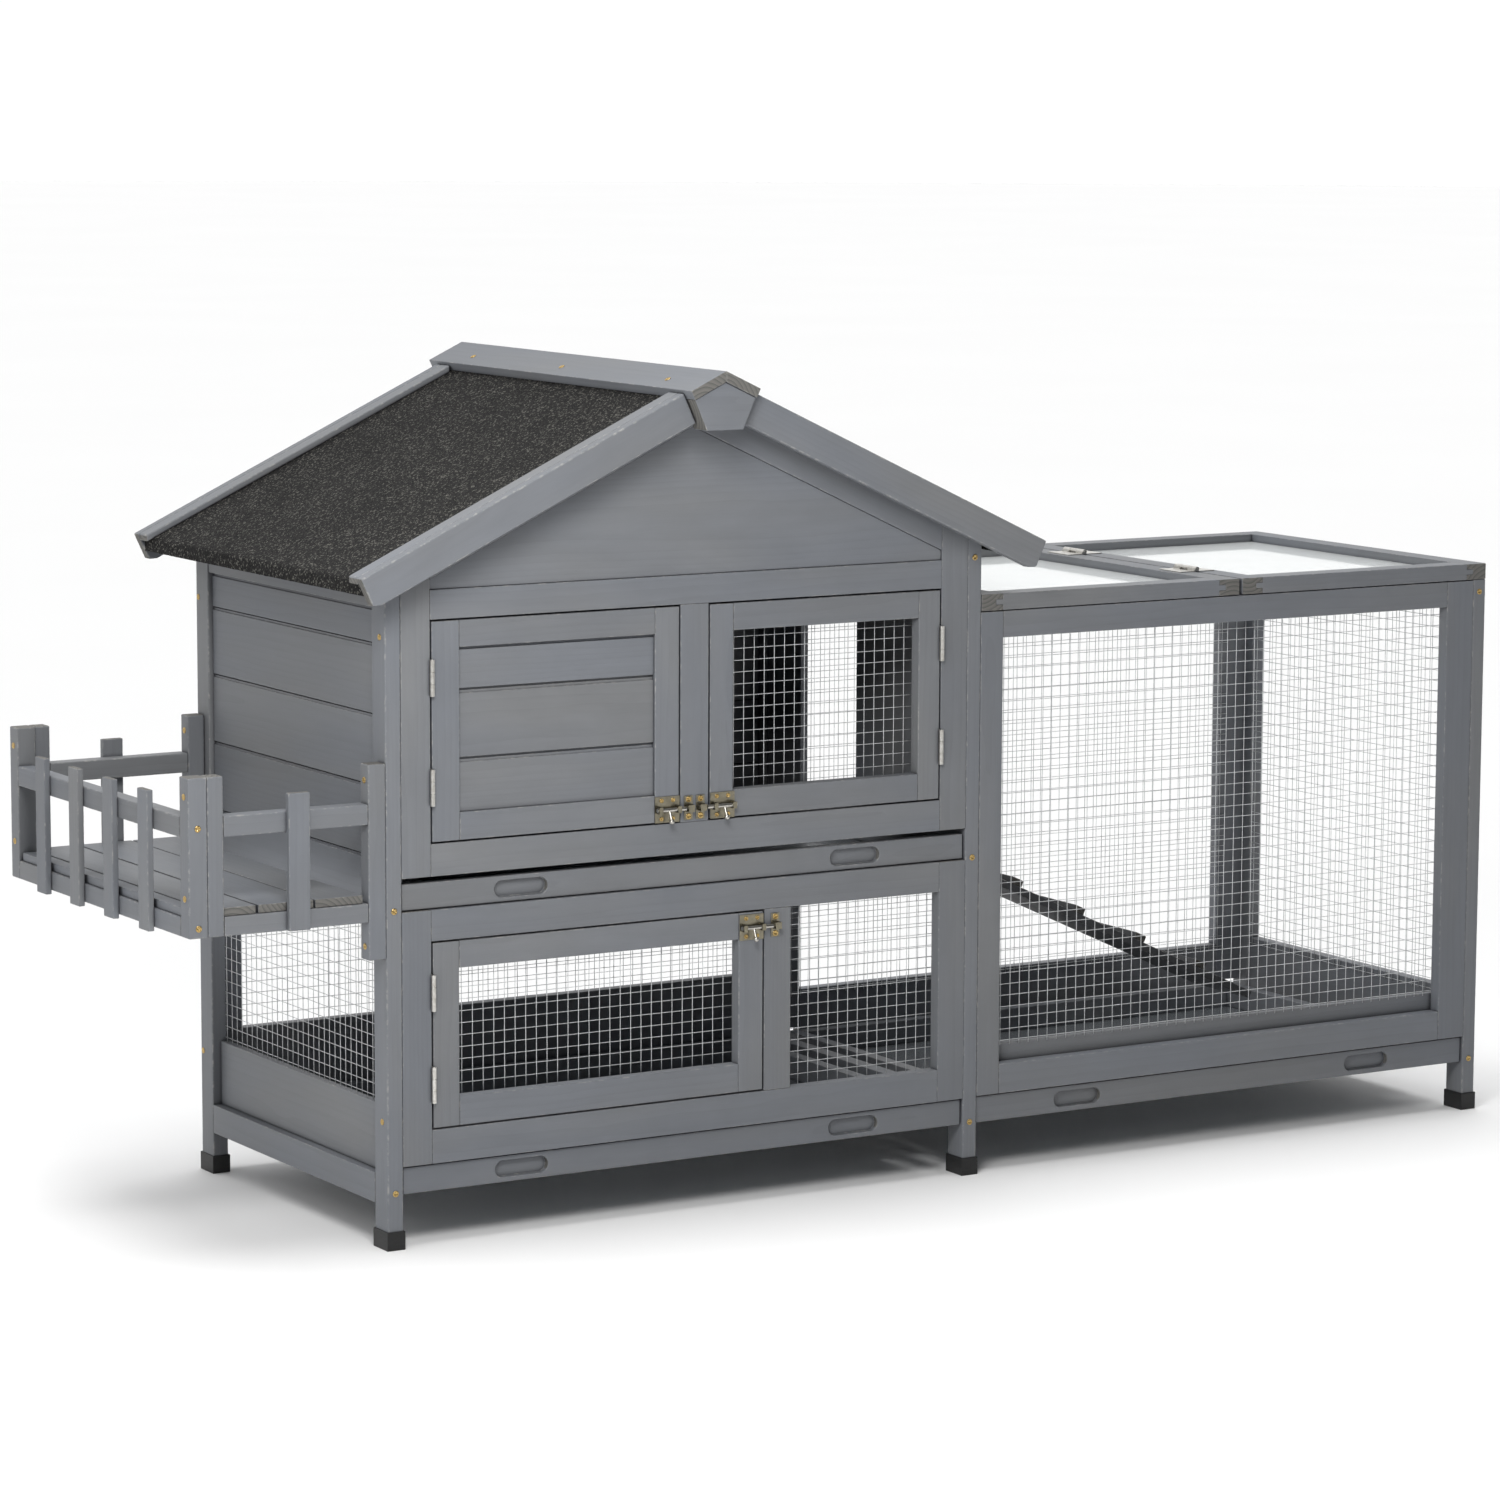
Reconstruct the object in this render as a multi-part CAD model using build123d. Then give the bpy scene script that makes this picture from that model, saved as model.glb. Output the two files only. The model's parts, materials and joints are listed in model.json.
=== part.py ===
from build123d import *
import math
import os

# Two-storey wooden rabbit hutch with a pitched felt roof, a side balcony and a mesh run.
# Working coordinates: X = 0 at the left face of the house, Y = 0 at its front face, Z = 0 at the floor.
# On export everything is moved so that the origin is the middle of the whole object's base.

# ---- house, run and posts -------------------------------------------------------------------
HOUSE_W = 731.0            # left face of the left posts to right face of the middle posts
TOTAL_W = 1436.0           # left face of the house to right face of the run
DEPTH = 455.0              # front face to back face
POST_W = 18.0
POST_D = 30.0
CAP_H = 20.0
CAP_WALL = 1.5
CAP_BASE = 3.0
FRAME_T = 15.0             # thickness of the front and back frames
MID_L = HOUSE_W - POST_W   # left face of the middle posts
END_L = TOTAL_W - POST_W   # left face of the end posts
POST_TOP = 710.0
SCREW_R = 3.4
SCREW_H = 0.9

# ---- upper storey ---------------------------------------------------------------------------
UP_BOTTOM = 390.0
UP_SILL = 424.0
UP_HEAD = 657.0
UP_TOP = 688.0
STILE_L = 52.0             # right edge of the left stile
STILE_R = 679.0            # left edge of the right stile
UP_MID_L = 350.0
UP_MID_R = 384.5
UP_WIN = (415.0, 650.0, 455.0, 626.0)
PANEL_SPLITS = (455.0, 512.0, 584.0, 627.0)
PANEL_X = (86.0, 319.0)

# ---- lower storey ---------------------------------------------------------------------------
LOW_TOP = 355.0
LOW_HEAD = 322.0
LOW_SILL = 123.0
LOW_BOTTOM = 87.0
LOW_MID_L = 455.0
LOW_MID_R = 488.5
LOW_WIN = (84.5, 423.0, 155.5, 291.5)
WALL_BOTTOM = 352.0
LOW_BOARD_TOP = 149.0
HOUSE_BACK_BOARD_TOP = 158.5
RUN_BACK_BOARD_TOP = 133.7
BACK_STILE = 24.0            # width of the lower back stiles
SIDE_RAIL = (46.0, 78.0)
PLANK_LINES = (352.0, 410.0, 484.5, 559.0, 633.0, 670.0)
PLANK_T = 9.0
PLANK_INSET = 5.6
GROOVE = 2.4

# ---- divider wall between house and run -----------------------------------------------------
WALL_X = (716.0, 726.0)
DOORWAY_Y = (232.0, 352.0)
DOORWAY_Z = (390.0, 626.0)
LOW_RAIL_BOTTOM = 60.0
DIVIDER_DROP = 7.0           # divider boards reach this far below the other walls

# ---- roof -----------------------------------------------------------------------------------
RIDGE_X = HOUSE_W / 2
PITCH = math.radians(25.0)
SLOPE = math.tan(PITCH)
FELT_APEX = 895.2          # height that the felt's top surface would reach at the ridge
CAP_BOARD = 10.5
TRIM_T = 7.0
FELT_T = 1.5
DECK_T = 9.0
RAKE_BOTTOM_APEX = 845.0
ROOF_CLEAR = 0.3             # gap between the deck and the walls below it
BARGE_W = 35.0
BARGE_T = 12.0
ROOF_FRONT = -50.0
EAVE_D = 407.0             # ridge to the deck's lower edge
BARGE_D = 417.0            # ridge to the bargeboard's tip
CAP_HALF = 42.0
CAP_FRONT = -67.0
FELT_SKIRT_Z = 690.0
RIDGE_BLOCK = (36.8, 22.0)  # half widths at the shoulder and at the foot

# ---- run ------------------------------------------------------------------------------------
RUN_STILE_L = 760.5
RUN_BACK_STILE_L = 771.0
RUN_STILE_R = 1380.0
RUN_TOP = 628.0
RUN_HEAD = 598.5
RUN_SILL = 121.5
RUN_BOTTOM = 88.0
RUN_INNER_TOP = 141.0
INNER_BOARD_X = (746.5, 1406.0)
INNER_BOARD_Z = (90.0, RUN_INNER_TOP)
INNER_BOARD_CLEAR = 0.4
END_BOARD_BOTTOM = 60.0
LID_Z = (629.0, 647.4)
LID_SEAM = 1083.0
LID_GAP = 4.4
LID_D = 446.0
LID_RAIL = 28.0
LID_TONGUE = (9.0, 6.2)
LID_HINGE_Y = (105.0, 330.0)
LID_SHEET_Z = (636.0, 638.0)

# ---- mesh -----------------------------------------------------------------------------------
WIRE = 0.9
MESH_PITCH = 12.7
MESH_LAP = 8.0

# ---- doors, hinges and bolts ----------------------------------------------------------------
GAP = 1.8
BARREL_R = 2.6
PIN_R = 1.2
BARREL_Y = -3.0
HINGE_LEN = 38.5
HINGE_LEAF_T = 0.5
HINGE_LEAF_D = 12.0
UP_HINGE_Z = (597.0, 483.0)
LOW_HINGE_Z = (268.0, 171.0)
BOLT_R = 2.3
BOLT_Y = -5.2
BOLT_UP_Z = 439.5
BOLT_LOW_Z = 304.0
BOLT_PLATE = (30.0, 28.0)
KEEPER_W = 10.5

# ---- trays ----------------------------------------------------------------------------------
TRAY_Y = 3.6
TRAY_FRONT_T = 12.0
TRAY_SIDE_T = 15.0
TRAY_BACK = 434.0
PAN_T = 1.0
SLOT_LEN = 63.0
SLOT_H = 18.0
SLOT_DEPTH = 6.0
RUNNER_W = 40.0
RUNNER_H = 10.0
RUNNER_FRONT = 112.0          # runners start well behind the tray fronts

# ---- balcony --------------------------------------------------------------------------------
BALC_OUT = -222.0
BALC_POST = 21.0
BALC_STILE = 18.0
BALC_T = 18.0
BALC_BOTTOM = 348.0
BALC_TOP = 512.0
BALC_INNER_BOTTOM = 308.0
BALC_RAILS = ((348.0, 368.0), (449.5, 471.0))
PICKET_T = 7.0
PICKET_W = 24.0
PICKET_Z = (344.0, 490.0)
SIDE_PICKETS = 4
FLOOR_T = 9.0
FLOOR_SPLITS = ((-26.0, -80.0), (-82.0, -144.0), (-147.0, -200.0))

# ---- ramp -----------------------------------------------------------------------------------
RAMP_AXIS = (730.2, 374.0)
RAMP_ANGLE = math.radians(24.65)
RAMP_LEN = 612.0
RAMP_Y = (237.0, 347.0)
RAMP_T = 9.0
RAMP_DROP = 3.0            # board's top face below the hinge axis
CLEAT_COUNT = 6
CLEAT_FIRST = 32.0
CLEAT_PITCH = 97.0
CLEAT = (16.0, 8.0)

# ---- the frame that everything is exported in -----------------------------------------------
BALC_EDGE = BALC_OUT - PICKET_T
ORIGIN_X = (BALC_EDGE + TOTAL_W + CAP_WALL) / 2
ORIGIN_Y = DEPTH / 2


def block(x, y, z):
    """A straight board between two limits on each axis."""
    size = (x[1] - x[0], y[1] - y[0], z[1] - z[0])
    centre = ((x[0] + x[1]) / 2, (y[0] + y[1]) / 2, (z[0] + z[1]) / 2)
    return Pos(*centre) * Box(*size)


def plate_xz(points, y):
    """A board whose outline is drawn in the XZ plane and that fills the limits y."""
    face = make_face(Polyline(*[(px, 0, pz) for px, pz in points], close=True))
    return Pos(0, y[0], 0) * extrude(face, amount=y[1] - y[0], dir=(0, 1, 0))


def mirror_y(solids):
    """The same pieces at the back of the hutch."""
    return [mirror(s, Plane.XZ.offset(-DEPTH / 2)) for s in solids]


def mirror_x(solids):
    """The same roof pieces on the other side of the ridge."""
    return [mirror(s, Plane.YZ.offset(RIDGE_X)) for s in solids]


def save(node, solids):
    """One STEP for a named sub-part, moved into the export frame."""
    placed = [Pos(-ORIGIN_X, -ORIGIN_Y, 0) * s for s in solids]
    export_step(Compound(label=node, children=placed), f"parts/{node}.step")


def slope_z(apex, distance):
    """Height of a roof line at a distance from the ridge."""
    return apex - SLOPE * distance


def mesh_xz(x, z, y):
    """Welded mesh in an XZ plane: upright wires in front of level ones."""
    wires = []
    columns = int((x[1] - x[0] - 2 * WIRE) // MESH_PITCH)
    rows = int((z[1] - z[0] - 2 * WIRE) // MESH_PITCH)
    x_first = (x[0] + x[1] - columns * MESH_PITCH) / 2
    z_first = (z[0] + z[1] - rows * MESH_PITCH) / 2
    for i in range(columns + 1):
        at = x_first + i * MESH_PITCH
        wires.append(block((at - WIRE / 2, at + WIRE / 2), (y, y + WIRE), z))
    for i in range(rows + 1):
        at = z_first + i * MESH_PITCH
        wires.append(block(x, (y + WIRE, y + 2 * WIRE), (at - WIRE / 2, at + WIRE / 2)))
    return wires


def mesh_yz(y, z, x):
    """Welded mesh in a YZ plane."""
    wires = []
    columns = int((y[1] - y[0] - 2 * WIRE) // MESH_PITCH)
    rows = int((z[1] - z[0] - 2 * WIRE) // MESH_PITCH)
    y_first = (y[0] + y[1] - columns * MESH_PITCH) / 2
    z_first = (z[0] + z[1] - rows * MESH_PITCH) / 2
    for i in range(columns + 1):
        at = y_first + i * MESH_PITCH
        wires.append(block((x, x + WIRE), (at - WIRE / 2, at + WIRE / 2), z))
    for i in range(rows + 1):
        at = z_first + i * MESH_PITCH
        wires.append(block((x + WIRE, x + 2 * WIRE), y, (at - WIRE / 2, at + WIRE / 2)))
    return wires


# ---- posts and feet -------------------------------------------------------------------------
FRONT_POST = (0.0, POST_D)
BACK_POST = (DEPTH - POST_D, DEPTH)
POST_LEFTS = (0.0, MID_L, END_L)


def house_posts():
    posts = []
    for left in POST_LEFTS[:2]:
        for depth in (FRONT_POST, BACK_POST):
            posts.append(block((left, left + POST_W), depth, (CAP_BASE, POST_TOP)))
    return posts


def run_end_posts():
    height = (CAP_BASE, LID_Z[0])
    return [block((END_L, TOTAL_W), depth, height) for depth in (FRONT_POST, BACK_POST)]


def foot_caps():
    caps = []
    for left in POST_LEFTS:
        for depth in (FRONT_POST, BACK_POST):
            x = (left - CAP_WALL, left + POST_W + CAP_WALL)
            y = (depth[0] - CAP_WALL, depth[1] + CAP_WALL)
            pocket = block((left, left + POST_W), depth, (CAP_BASE, CAP_H + 1))
            caps.append(block(x, y, (0, CAP_H)) - pocket)
    return caps


# ---- house frames ---------------------------------------------------------------------------
FRAME_Y = (0.0, FRAME_T)
DECK_BOTTOM_APEX = FELT_APEX - (FELT_T + DECK_T) / math.cos(PITCH)


def stile_to_roof(x):
    """An upright that runs up to the underside of the roof, with its top cut to the slope."""
    apex = DECK_BOTTOM_APEX - ROOF_CLEAR
    top_l = slope_z(apex, abs(RIDGE_X - x[0]))
    top_r = slope_z(apex, abs(RIDGE_X - x[1]))
    outline = [(x[0], UP_BOTTOM), (x[1], UP_BOTTOM), (x[1], top_r), (x[0], top_l)]
    return plate_xz(outline, FRAME_Y)


def upper_front_frame():
    span = (STILE_L, STILE_R)
    return [
        stile_to_roof((POST_W, STILE_L)),
        stile_to_roof((STILE_R, MID_L)),
        block(span, FRAME_Y, (UP_HEAD, UP_TOP)),
        block(span, FRAME_Y, (UP_BOTTOM, UP_SILL)),
        block((UP_MID_L, UP_MID_R), FRAME_Y, (UP_SILL, UP_HEAD)),
    ]


def gable_pieces(y_rake, y_board):
    """Sloping rake rails under the roof and the flat gable board below them."""
    top = DECK_BOTTOM_APEX - ROOF_CLEAR
    foot_l = slope_z(RAKE_BOTTOM_APEX, RIDGE_X - STILE_L)
    foot_r = slope_z(RAKE_BOTTOM_APEX, STILE_R - RIDGE_X)
    rake_l = [
        (STILE_L, max(UP_TOP, foot_l)),
        (RIDGE_X, RAKE_BOTTOM_APEX),
        (RIDGE_X, top),
        (STILE_L, slope_z(top, RIDGE_X - STILE_L)),
    ]
    rake_r = [
        (RIDGE_X, RAKE_BOTTOM_APEX),
        (STILE_R, max(UP_TOP, foot_r)),
        (STILE_R, slope_z(top, STILE_R - RIDGE_X)),
        (RIDGE_X, top),
    ]
    board = [
        (STILE_L, UP_TOP),
        (STILE_R, UP_TOP),
        (STILE_R, foot_r),
        (RIDGE_X, RAKE_BOTTOM_APEX),
        (STILE_L, foot_l),
    ]
    return [plate_xz(rake_l, y_rake), plate_xz(rake_r, y_rake)], [plate_xz(board, y_board)]


def lower_front_frame():
    return [
        block((POST_W, STILE_L), FRAME_Y, (LOW_BOTTOM, LOW_TOP)),
        block((STILE_R, MID_L), FRAME_Y, (LOW_BOTTOM, LOW_TOP)),
        block((STILE_L, STILE_R), FRAME_Y, (LOW_HEAD, LOW_TOP)),
        block((STILE_L, STILE_R), FRAME_Y, (LOW_BOTTOM, LOW_SILL)),
        block((LOW_MID_L, LOW_MID_R), FRAME_Y, (LOW_SILL, LOW_HEAD)),
    ]


def fixed_window_mesh():
    x = (LOW_MID_R - MESH_LAP, STILE_R + MESH_LAP)
    z = (LOW_SILL - MESH_LAP, LOW_HEAD + MESH_LAP)
    return mesh_xz(x, z, FRAME_T)


# ---- side, back and divider walls -----------------------------------------------------------
INNER_Y = (POST_D, DEPTH - POST_D)


def left_wall_planks():
    x = (PLANK_INSET, PLANK_INSET + PLANK_T)
    planks = []
    for low, high in zip(PLANK_LINES[:-1], PLANK_LINES[1:]):
        plank = block(x, INNER_Y, (low, high - GROOVE / 2))
        planks.append(plank)
    return planks


def left_wall_trim():
    return [
        block((1.2, PLANK_INSET + PLANK_T), INNER_Y, (PLANK_LINES[-1], POST_TOP)),
        block((0.0, POST_W), INNER_Y, SIDE_RAIL),
    ]


def left_lower_board():
    return [block((10.0, 19.0), INNER_Y, (SIDE_RAIL[1], LOW_BOARD_TOP))]


def left_lower_mesh():
    return mesh_yz(INNER_Y, (LOW_BOARD_TOP, WALL_BOTTOM + MESH_LAP), PLANK_INSET + PLANK_T)


BACK_X = (POST_W, MID_L)
BACK_PLANK_Y = (DEPTH - PLANK_INSET - PLANK_T, DEPTH - PLANK_INSET)
LOW_BACK_Y = (DEPTH - 18.0, DEPTH - 4.0)
BACK_BOARD_BOTTOM = 46.0


def back_wall_planks():
    planks = []
    lines = PLANK_LINES[:-1] + (UP_TOP,)
    for low, high in zip(lines[:-1], lines[1:]):
        planks.append(block(BACK_X, BACK_PLANK_Y, (low, high - GROOVE / 2)))
    return planks


def back_gable():
    apex = DECK_BOTTOM_APEX - ROOF_CLEAR
    outline = [
        (POST_W, UP_TOP),
        (MID_L, UP_TOP),
        (MID_L, slope_z(apex, MID_L - RIDGE_X)),
        (RIDGE_X, apex),
        (POST_W, slope_z(apex, RIDGE_X - POST_W)),
    ]
    return [plate_xz(outline, (DEPTH - FRAME_T, DEPTH - 2.0))]


def back_lower_boards():
    """The low board, and a stile beside each back post."""
    board = block(BACK_X, LOW_BACK_Y, (BACK_BOARD_BOTTOM, HOUSE_BACK_BOARD_TOP))
    stile_z = (HOUSE_BACK_BOARD_TOP, WALL_BOTTOM)
    left = block((BACK_X[0], BACK_X[0] + BACK_STILE), LOW_BACK_Y, stile_z)
    right = block((BACK_X[1] - BACK_STILE, BACK_X[1]), LOW_BACK_Y, stile_z)
    return [board, left, right]


def back_lower_mesh():
    y = LOW_BACK_Y[1]
    x = (BACK_X[0] + MESH_LAP, BACK_X[1] - MESH_LAP)
    return mesh_xz(x, (HOUSE_BACK_BOARD_TOP - MESH_LAP, WALL_BOTTOM - 0.5), y)


def divider_wall():
    """The wall between house and run: boards round the doorway, and a low rail."""
    low = WALL_BOTTOM - DIVIDER_DROP
    return [
        block(WALL_X, (POST_D, DOORWAY_Y[0]), (low, POST_TOP)),
        block(WALL_X, (DOORWAY_Y[1], DEPTH - POST_D), (low, POST_TOP)),
        block(WALL_X, DOORWAY_Y, (DOORWAY_Z[1], POST_TOP)),
        block(WALL_X, DOORWAY_Y, (low, DOORWAY_Z[0])),
        block((MID_L, HOUSE_W), INNER_Y, (LOW_RAIL_BOTTOM, LOW_BOTTOM)),
    ]


# ---- roof -----------------------------------------------------------------------------------
DECK_Y = (ROOF_FRONT + BARGE_T, DEPTH - ROOF_FRONT - BARGE_T)


def sloped(apex_top, thickness, near, far, y):
    """A board on the left slope, between two distances from the ridge."""
    drop = thickness / math.cos(PITCH)
    outline = [
        (RIDGE_X - near, slope_z(apex_top, near)),
        (RIDGE_X - far, slope_z(apex_top, far)),
        (RIDGE_X - far, slope_z(apex_top - drop, far)),
        (RIDGE_X - near, slope_z(apex_top - drop, near)),
    ]
    return plate_xz(outline, y)


def roof_deck_left():
    deck_apex = FELT_APEX - FELT_T / math.cos(PITCH)
    return [sloped(deck_apex, DECK_T, 0.0, EAVE_D, DECK_Y)]


def felt_left():
    """One sheet of felt from the ridge to the eave, turned down over the deck's edge."""
    drop = FELT_T / math.cos(PITCH)
    out = EAVE_D + FELT_T
    outline = [
        (RIDGE_X, FELT_APEX),
        (RIDGE_X - out, slope_z(FELT_APEX, out)),
        (RIDGE_X - out, FELT_SKIRT_Z),
        (RIDGE_X - EAVE_D, FELT_SKIRT_Z),
        (RIDGE_X - EAVE_D, slope_z(FELT_APEX - drop, EAVE_D)),
        (RIDGE_X, FELT_APEX - drop),
    ]
    return [plate_xz(outline, DECK_Y)]


TRIM_APEX = FELT_APEX + TRIM_T / math.cos(PITCH)
CAP_JOINT = 0.5
BARGE_START = CAP_HALF - (CAP_BOARD - TRIM_T) * math.sin(PITCH) + CAP_JOINT * math.cos(PITCH)


def barge_left(y):
    """A bargeboard: square ends to the slope, with the lowest corner nipped level."""
    top_start = (RIDGE_X - BARGE_START, slope_z(TRIM_APEX, BARGE_START))
    top_end = (RIDGE_X - BARGE_D, slope_z(TRIM_APEX, BARGE_D))
    across = (BARGE_W * math.sin(PITCH), -BARGE_W * math.cos(PITCH))
    low_end = (top_end[0] + across[0], top_end[1] + across[1])
    low_start = (top_start[0] + across[0], top_start[1] + across[1])
    nip = 4.0
    cut_a = (low_end[0] - nip * math.sin(PITCH), low_end[1] + nip * math.cos(PITCH))
    cut_b = (low_end[0] + nip / SLOPE, low_end[1] + nip)
    return [plate_xz([top_start, top_end, cut_a, cut_b, low_start], y)]


def trim_left(y):
    far = BARGE_D - 2.0
    return [sloped(TRIM_APEX, TRIM_T, BARGE_START, far, y)]


def ridge_block(y):
    apex = FELT_APEX - 0.3
    outline = [
        (RIDGE_X, apex),
        (RIDGE_X + RIDGE_BLOCK[0], slope_z(apex, RIDGE_BLOCK[0])),
        (RIDGE_X + RIDGE_BLOCK[1], RAKE_BOTTOM_APEX),
        (RIDGE_X - RIDGE_BLOCK[1], RAKE_BOTTOM_APEX),
        (RIDGE_X - RIDGE_BLOCK[0], slope_z(apex, RIDGE_BLOCK[0])),
    ]
    return [plate_xz(outline, y)]


def ridge_cap():
    """Two boards that meet over the ridge, with their outer edges square to the slope."""
    rise = CAP_BOARD / math.cos(PITCH)
    apex = FELT_APEX + rise
    edge = (RIDGE_X - CAP_HALF, slope_z(apex, CAP_HALF))
    under = (edge[0] + CAP_BOARD * math.sin(PITCH), edge[1] - CAP_BOARD * math.cos(PITCH))
    outline = [(RIDGE_X, apex), edge, under, (RIDGE_X, FELT_APEX)]
    left = plate_xz(outline, (CAP_FRONT, DEPTH - CAP_FRONT))
    return [left] + mirror_x([left])


# ---- run ------------------------------------------------------------------------------------
def run_front_frame():
    """Stiles, top rail and sill."""
    return [
        block((HOUSE_W, RUN_STILE_L), FRAME_Y, (RUN_BOTTOM, RUN_TOP)),
        block((RUN_STILE_R, END_L), FRAME_Y, (RUN_BOTTOM, RUN_TOP)),
        block((RUN_STILE_L, RUN_STILE_R), FRAME_Y, (RUN_HEAD, RUN_TOP)),
        block((RUN_STILE_L, RUN_STILE_R), FRAME_Y, (RUN_BOTTOM, RUN_SILL)),
    ]


def run_back_frame():
    """As the front frame, with a wider left stile and a deep board in place of the sill."""
    return mirror_y([
        block((HOUSE_W, RUN_BACK_STILE_L), FRAME_Y, (RUN_BOTTOM, RUN_TOP)),
        block((RUN_STILE_R, END_L), FRAME_Y, (RUN_BOTTOM, RUN_TOP)),
        block((RUN_BACK_STILE_L, RUN_STILE_R), FRAME_Y, (RUN_HEAD, RUN_TOP)),
        block((RUN_BACK_STILE_L, RUN_STILE_R), FRAME_Y, (BACK_BOARD_BOTTOM, RUN_BACK_BOARD_TOP)),
    ])


def run_front_board():
    y_near = FRAME_T + 2 * WIRE + INNER_BOARD_CLEAR
    return [block(INNER_BOARD_X, (y_near, y_near + PLANK_T), INNER_BOARD_Z)]


def run_end_frame():
    x = (TOTAL_W - FRAME_T, TOTAL_W)
    return [
        block(x, INNER_Y, (RUN_HEAD, RUN_TOP)),
        block(x, INNER_Y, (END_BOARD_BOTTOM, RUN_INNER_TOP)),
    ]


def run_mesh(y, bottom):
    x = (RUN_STILE_L - MESH_LAP, RUN_STILE_R + MESH_LAP)
    return mesh_xz(x, (bottom, RUN_HEAD + MESH_LAP), y)


def run_end_mesh():
    x = TOTAL_W - FRAME_T - 2 * WIRE
    return mesh_yz(INNER_Y, (RUN_INNER_TOP - MESH_LAP, RUN_HEAD + MESH_LAP), x)


def lid_frame(x):
    """Side rails run through; the front and back rails have tongues in slots at their ends."""
    inner = (x[0] + LID_RAIL, x[1] - LID_RAIL)
    tongue_x = (inner[0] - LID_TONGUE[0], inner[1] + LID_TONGUE[0])
    middle = (LID_Z[0] + LID_Z[1]) / 2
    tongue_z = (middle - LID_TONGUE[1] / 2, middle + LID_TONGUE[1] / 2)
    left = block((x[0], inner[0]), (0.0, LID_D), LID_Z)
    right = block((inner[1], x[1]), (0.0, LID_D), LID_Z)
    rails = []
    for y in ((0.0, LID_RAIL), (LID_D - LID_RAIL, LID_D)):
        tongue = block(tongue_x, y, tongue_z)
        left = left - tongue
        right = right - tongue
        rails.append(block(inner, y, LID_Z) + tongue)
    return [left, right] + rails


def lid_sheet(x):
    inner_x = (x[0] + LID_RAIL, x[1] - LID_RAIL)
    return [block(inner_x, (LID_RAIL, LID_D - LID_RAIL), LID_SHEET_Z)]


LID_LEFT_X = (HOUSE_W + 0.5, LID_SEAM - LID_GAP / 2)
LID_RIGHT_X = (LID_SEAM + LID_GAP / 2, TOTAL_W)
LID_AXIS_Z = LID_Z[1] + 3.2
LID_LEAF = (24.0, 42.0, 1.0)


def knuckle(axis, start, length, outer, inner, along):
    """A hinge knuckle: a tube of a given length along Y or Z."""
    tube = Cylinder(outer, length) - Cylinder(inner, length + 1)
    if along == "Y":
        tube = Rot(90, 0, 0) * tube
        return Pos(axis[0], start + length / 2, axis[1]) * tube
    return Pos(axis[0], axis[1], start + length / 2) * tube


def lid_hinge_leaves(side):
    """Surface leaves on the lids; side -1 is the fixed lid, +1 the opening one."""
    leaves = []
    third = LID_LEAF[1] / 3
    for centre in LID_HINGE_Y:
        y0 = centre - LID_LEAF[1] / 2
        near = LID_SEAM + side * (BARREL_R + 0.6)
        far = LID_SEAM + side * LID_LEAF[0]
        x = (min(near, far), max(near, far))
        leaf = block(x, (y0, y0 + LID_LEAF[1]), (LID_Z[1], LID_Z[1] + LID_LEAF[2]))
        starts = [y0, y0 + 2 * third] if side < 0 else [y0 + third]
        for start in starts:
            span = (start + 0.2, start + third - 0.2)
            bore = PIN_R if side < 0 else PIN_R + 0.08
            ring = knuckle((LID_SEAM, LID_AXIS_Z), span[0], span[1] - span[0], BARREL_R, bore, "Y")
            toe = LID_SEAM + side * (PIN_R + 0.4)
            foot = block(sorted((near, toe)), span, (LID_Z[1] + 0.2, LID_AXIS_Z - 0.4))
            web = block(sorted((near, near + side)), span, (LID_Z[1], LID_AXIS_Z - 0.4))
            leaf = leaf + ring + foot + web
        leaves.append(leaf)
    return leaves


def lid_hinge_pins():
    pins = []
    for centre in LID_HINGE_Y:
        pins.append(Pos(LID_SEAM, centre, LID_AXIS_Z) * Rot(90, 0, 0) * Cylinder(PIN_R, LID_LEAF[1]))
    return pins


# ---- doors ----------------------------------------------------------------------------------
def door_frame(opening, window):
    """Stiles full height, rails between them, with a gap all round in the opening."""
    x = (opening[0] + GAP, opening[1] - GAP)
    z = (opening[2] + GAP, opening[3] - GAP)
    return [
        block((x[0], window[0]), FRAME_Y, z),
        block((window[1], x[1]), FRAME_Y, z),
        block((window[0], window[1]), FRAME_Y, (window[3], z[1])),
        block((window[0], window[1]), FRAME_Y, (z[0], window[2])),
    ]


UP_LEFT_OPENING = (STILE_L, UP_MID_L, UP_SILL, UP_HEAD)
UP_RIGHT_OPENING = (UP_MID_R, STILE_R, UP_SILL, UP_HEAD)
LOW_OPENING = (STILE_L, LOW_MID_L, LOW_SILL, LOW_HEAD)
SOLID_WINDOW = (PANEL_X[0], PANEL_X[1], PANEL_SPLITS[0], PANEL_SPLITS[-1])


def solid_door_planks():
    planks = []
    for low, high in zip(PANEL_SPLITS[:-1], PANEL_SPLITS[1:]):
        top = high if high == PANEL_SPLITS[-1] else high - GROOVE
        planks.append(block(PANEL_X, (3.5, 11.5), (low, top)))
    return planks


def window_mesh(window, y):
    x = (window[0] - MESH_LAP, window[1] + MESH_LAP)
    z = (window[2] - MESH_LAP, window[3] + MESH_LAP)
    return mesh_xz(x, z, y)


def hinge_axis_x(edge, side):
    """Middle of the gap between the frame's edge and the door's edge."""
    return edge + side * GAP / 2


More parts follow.
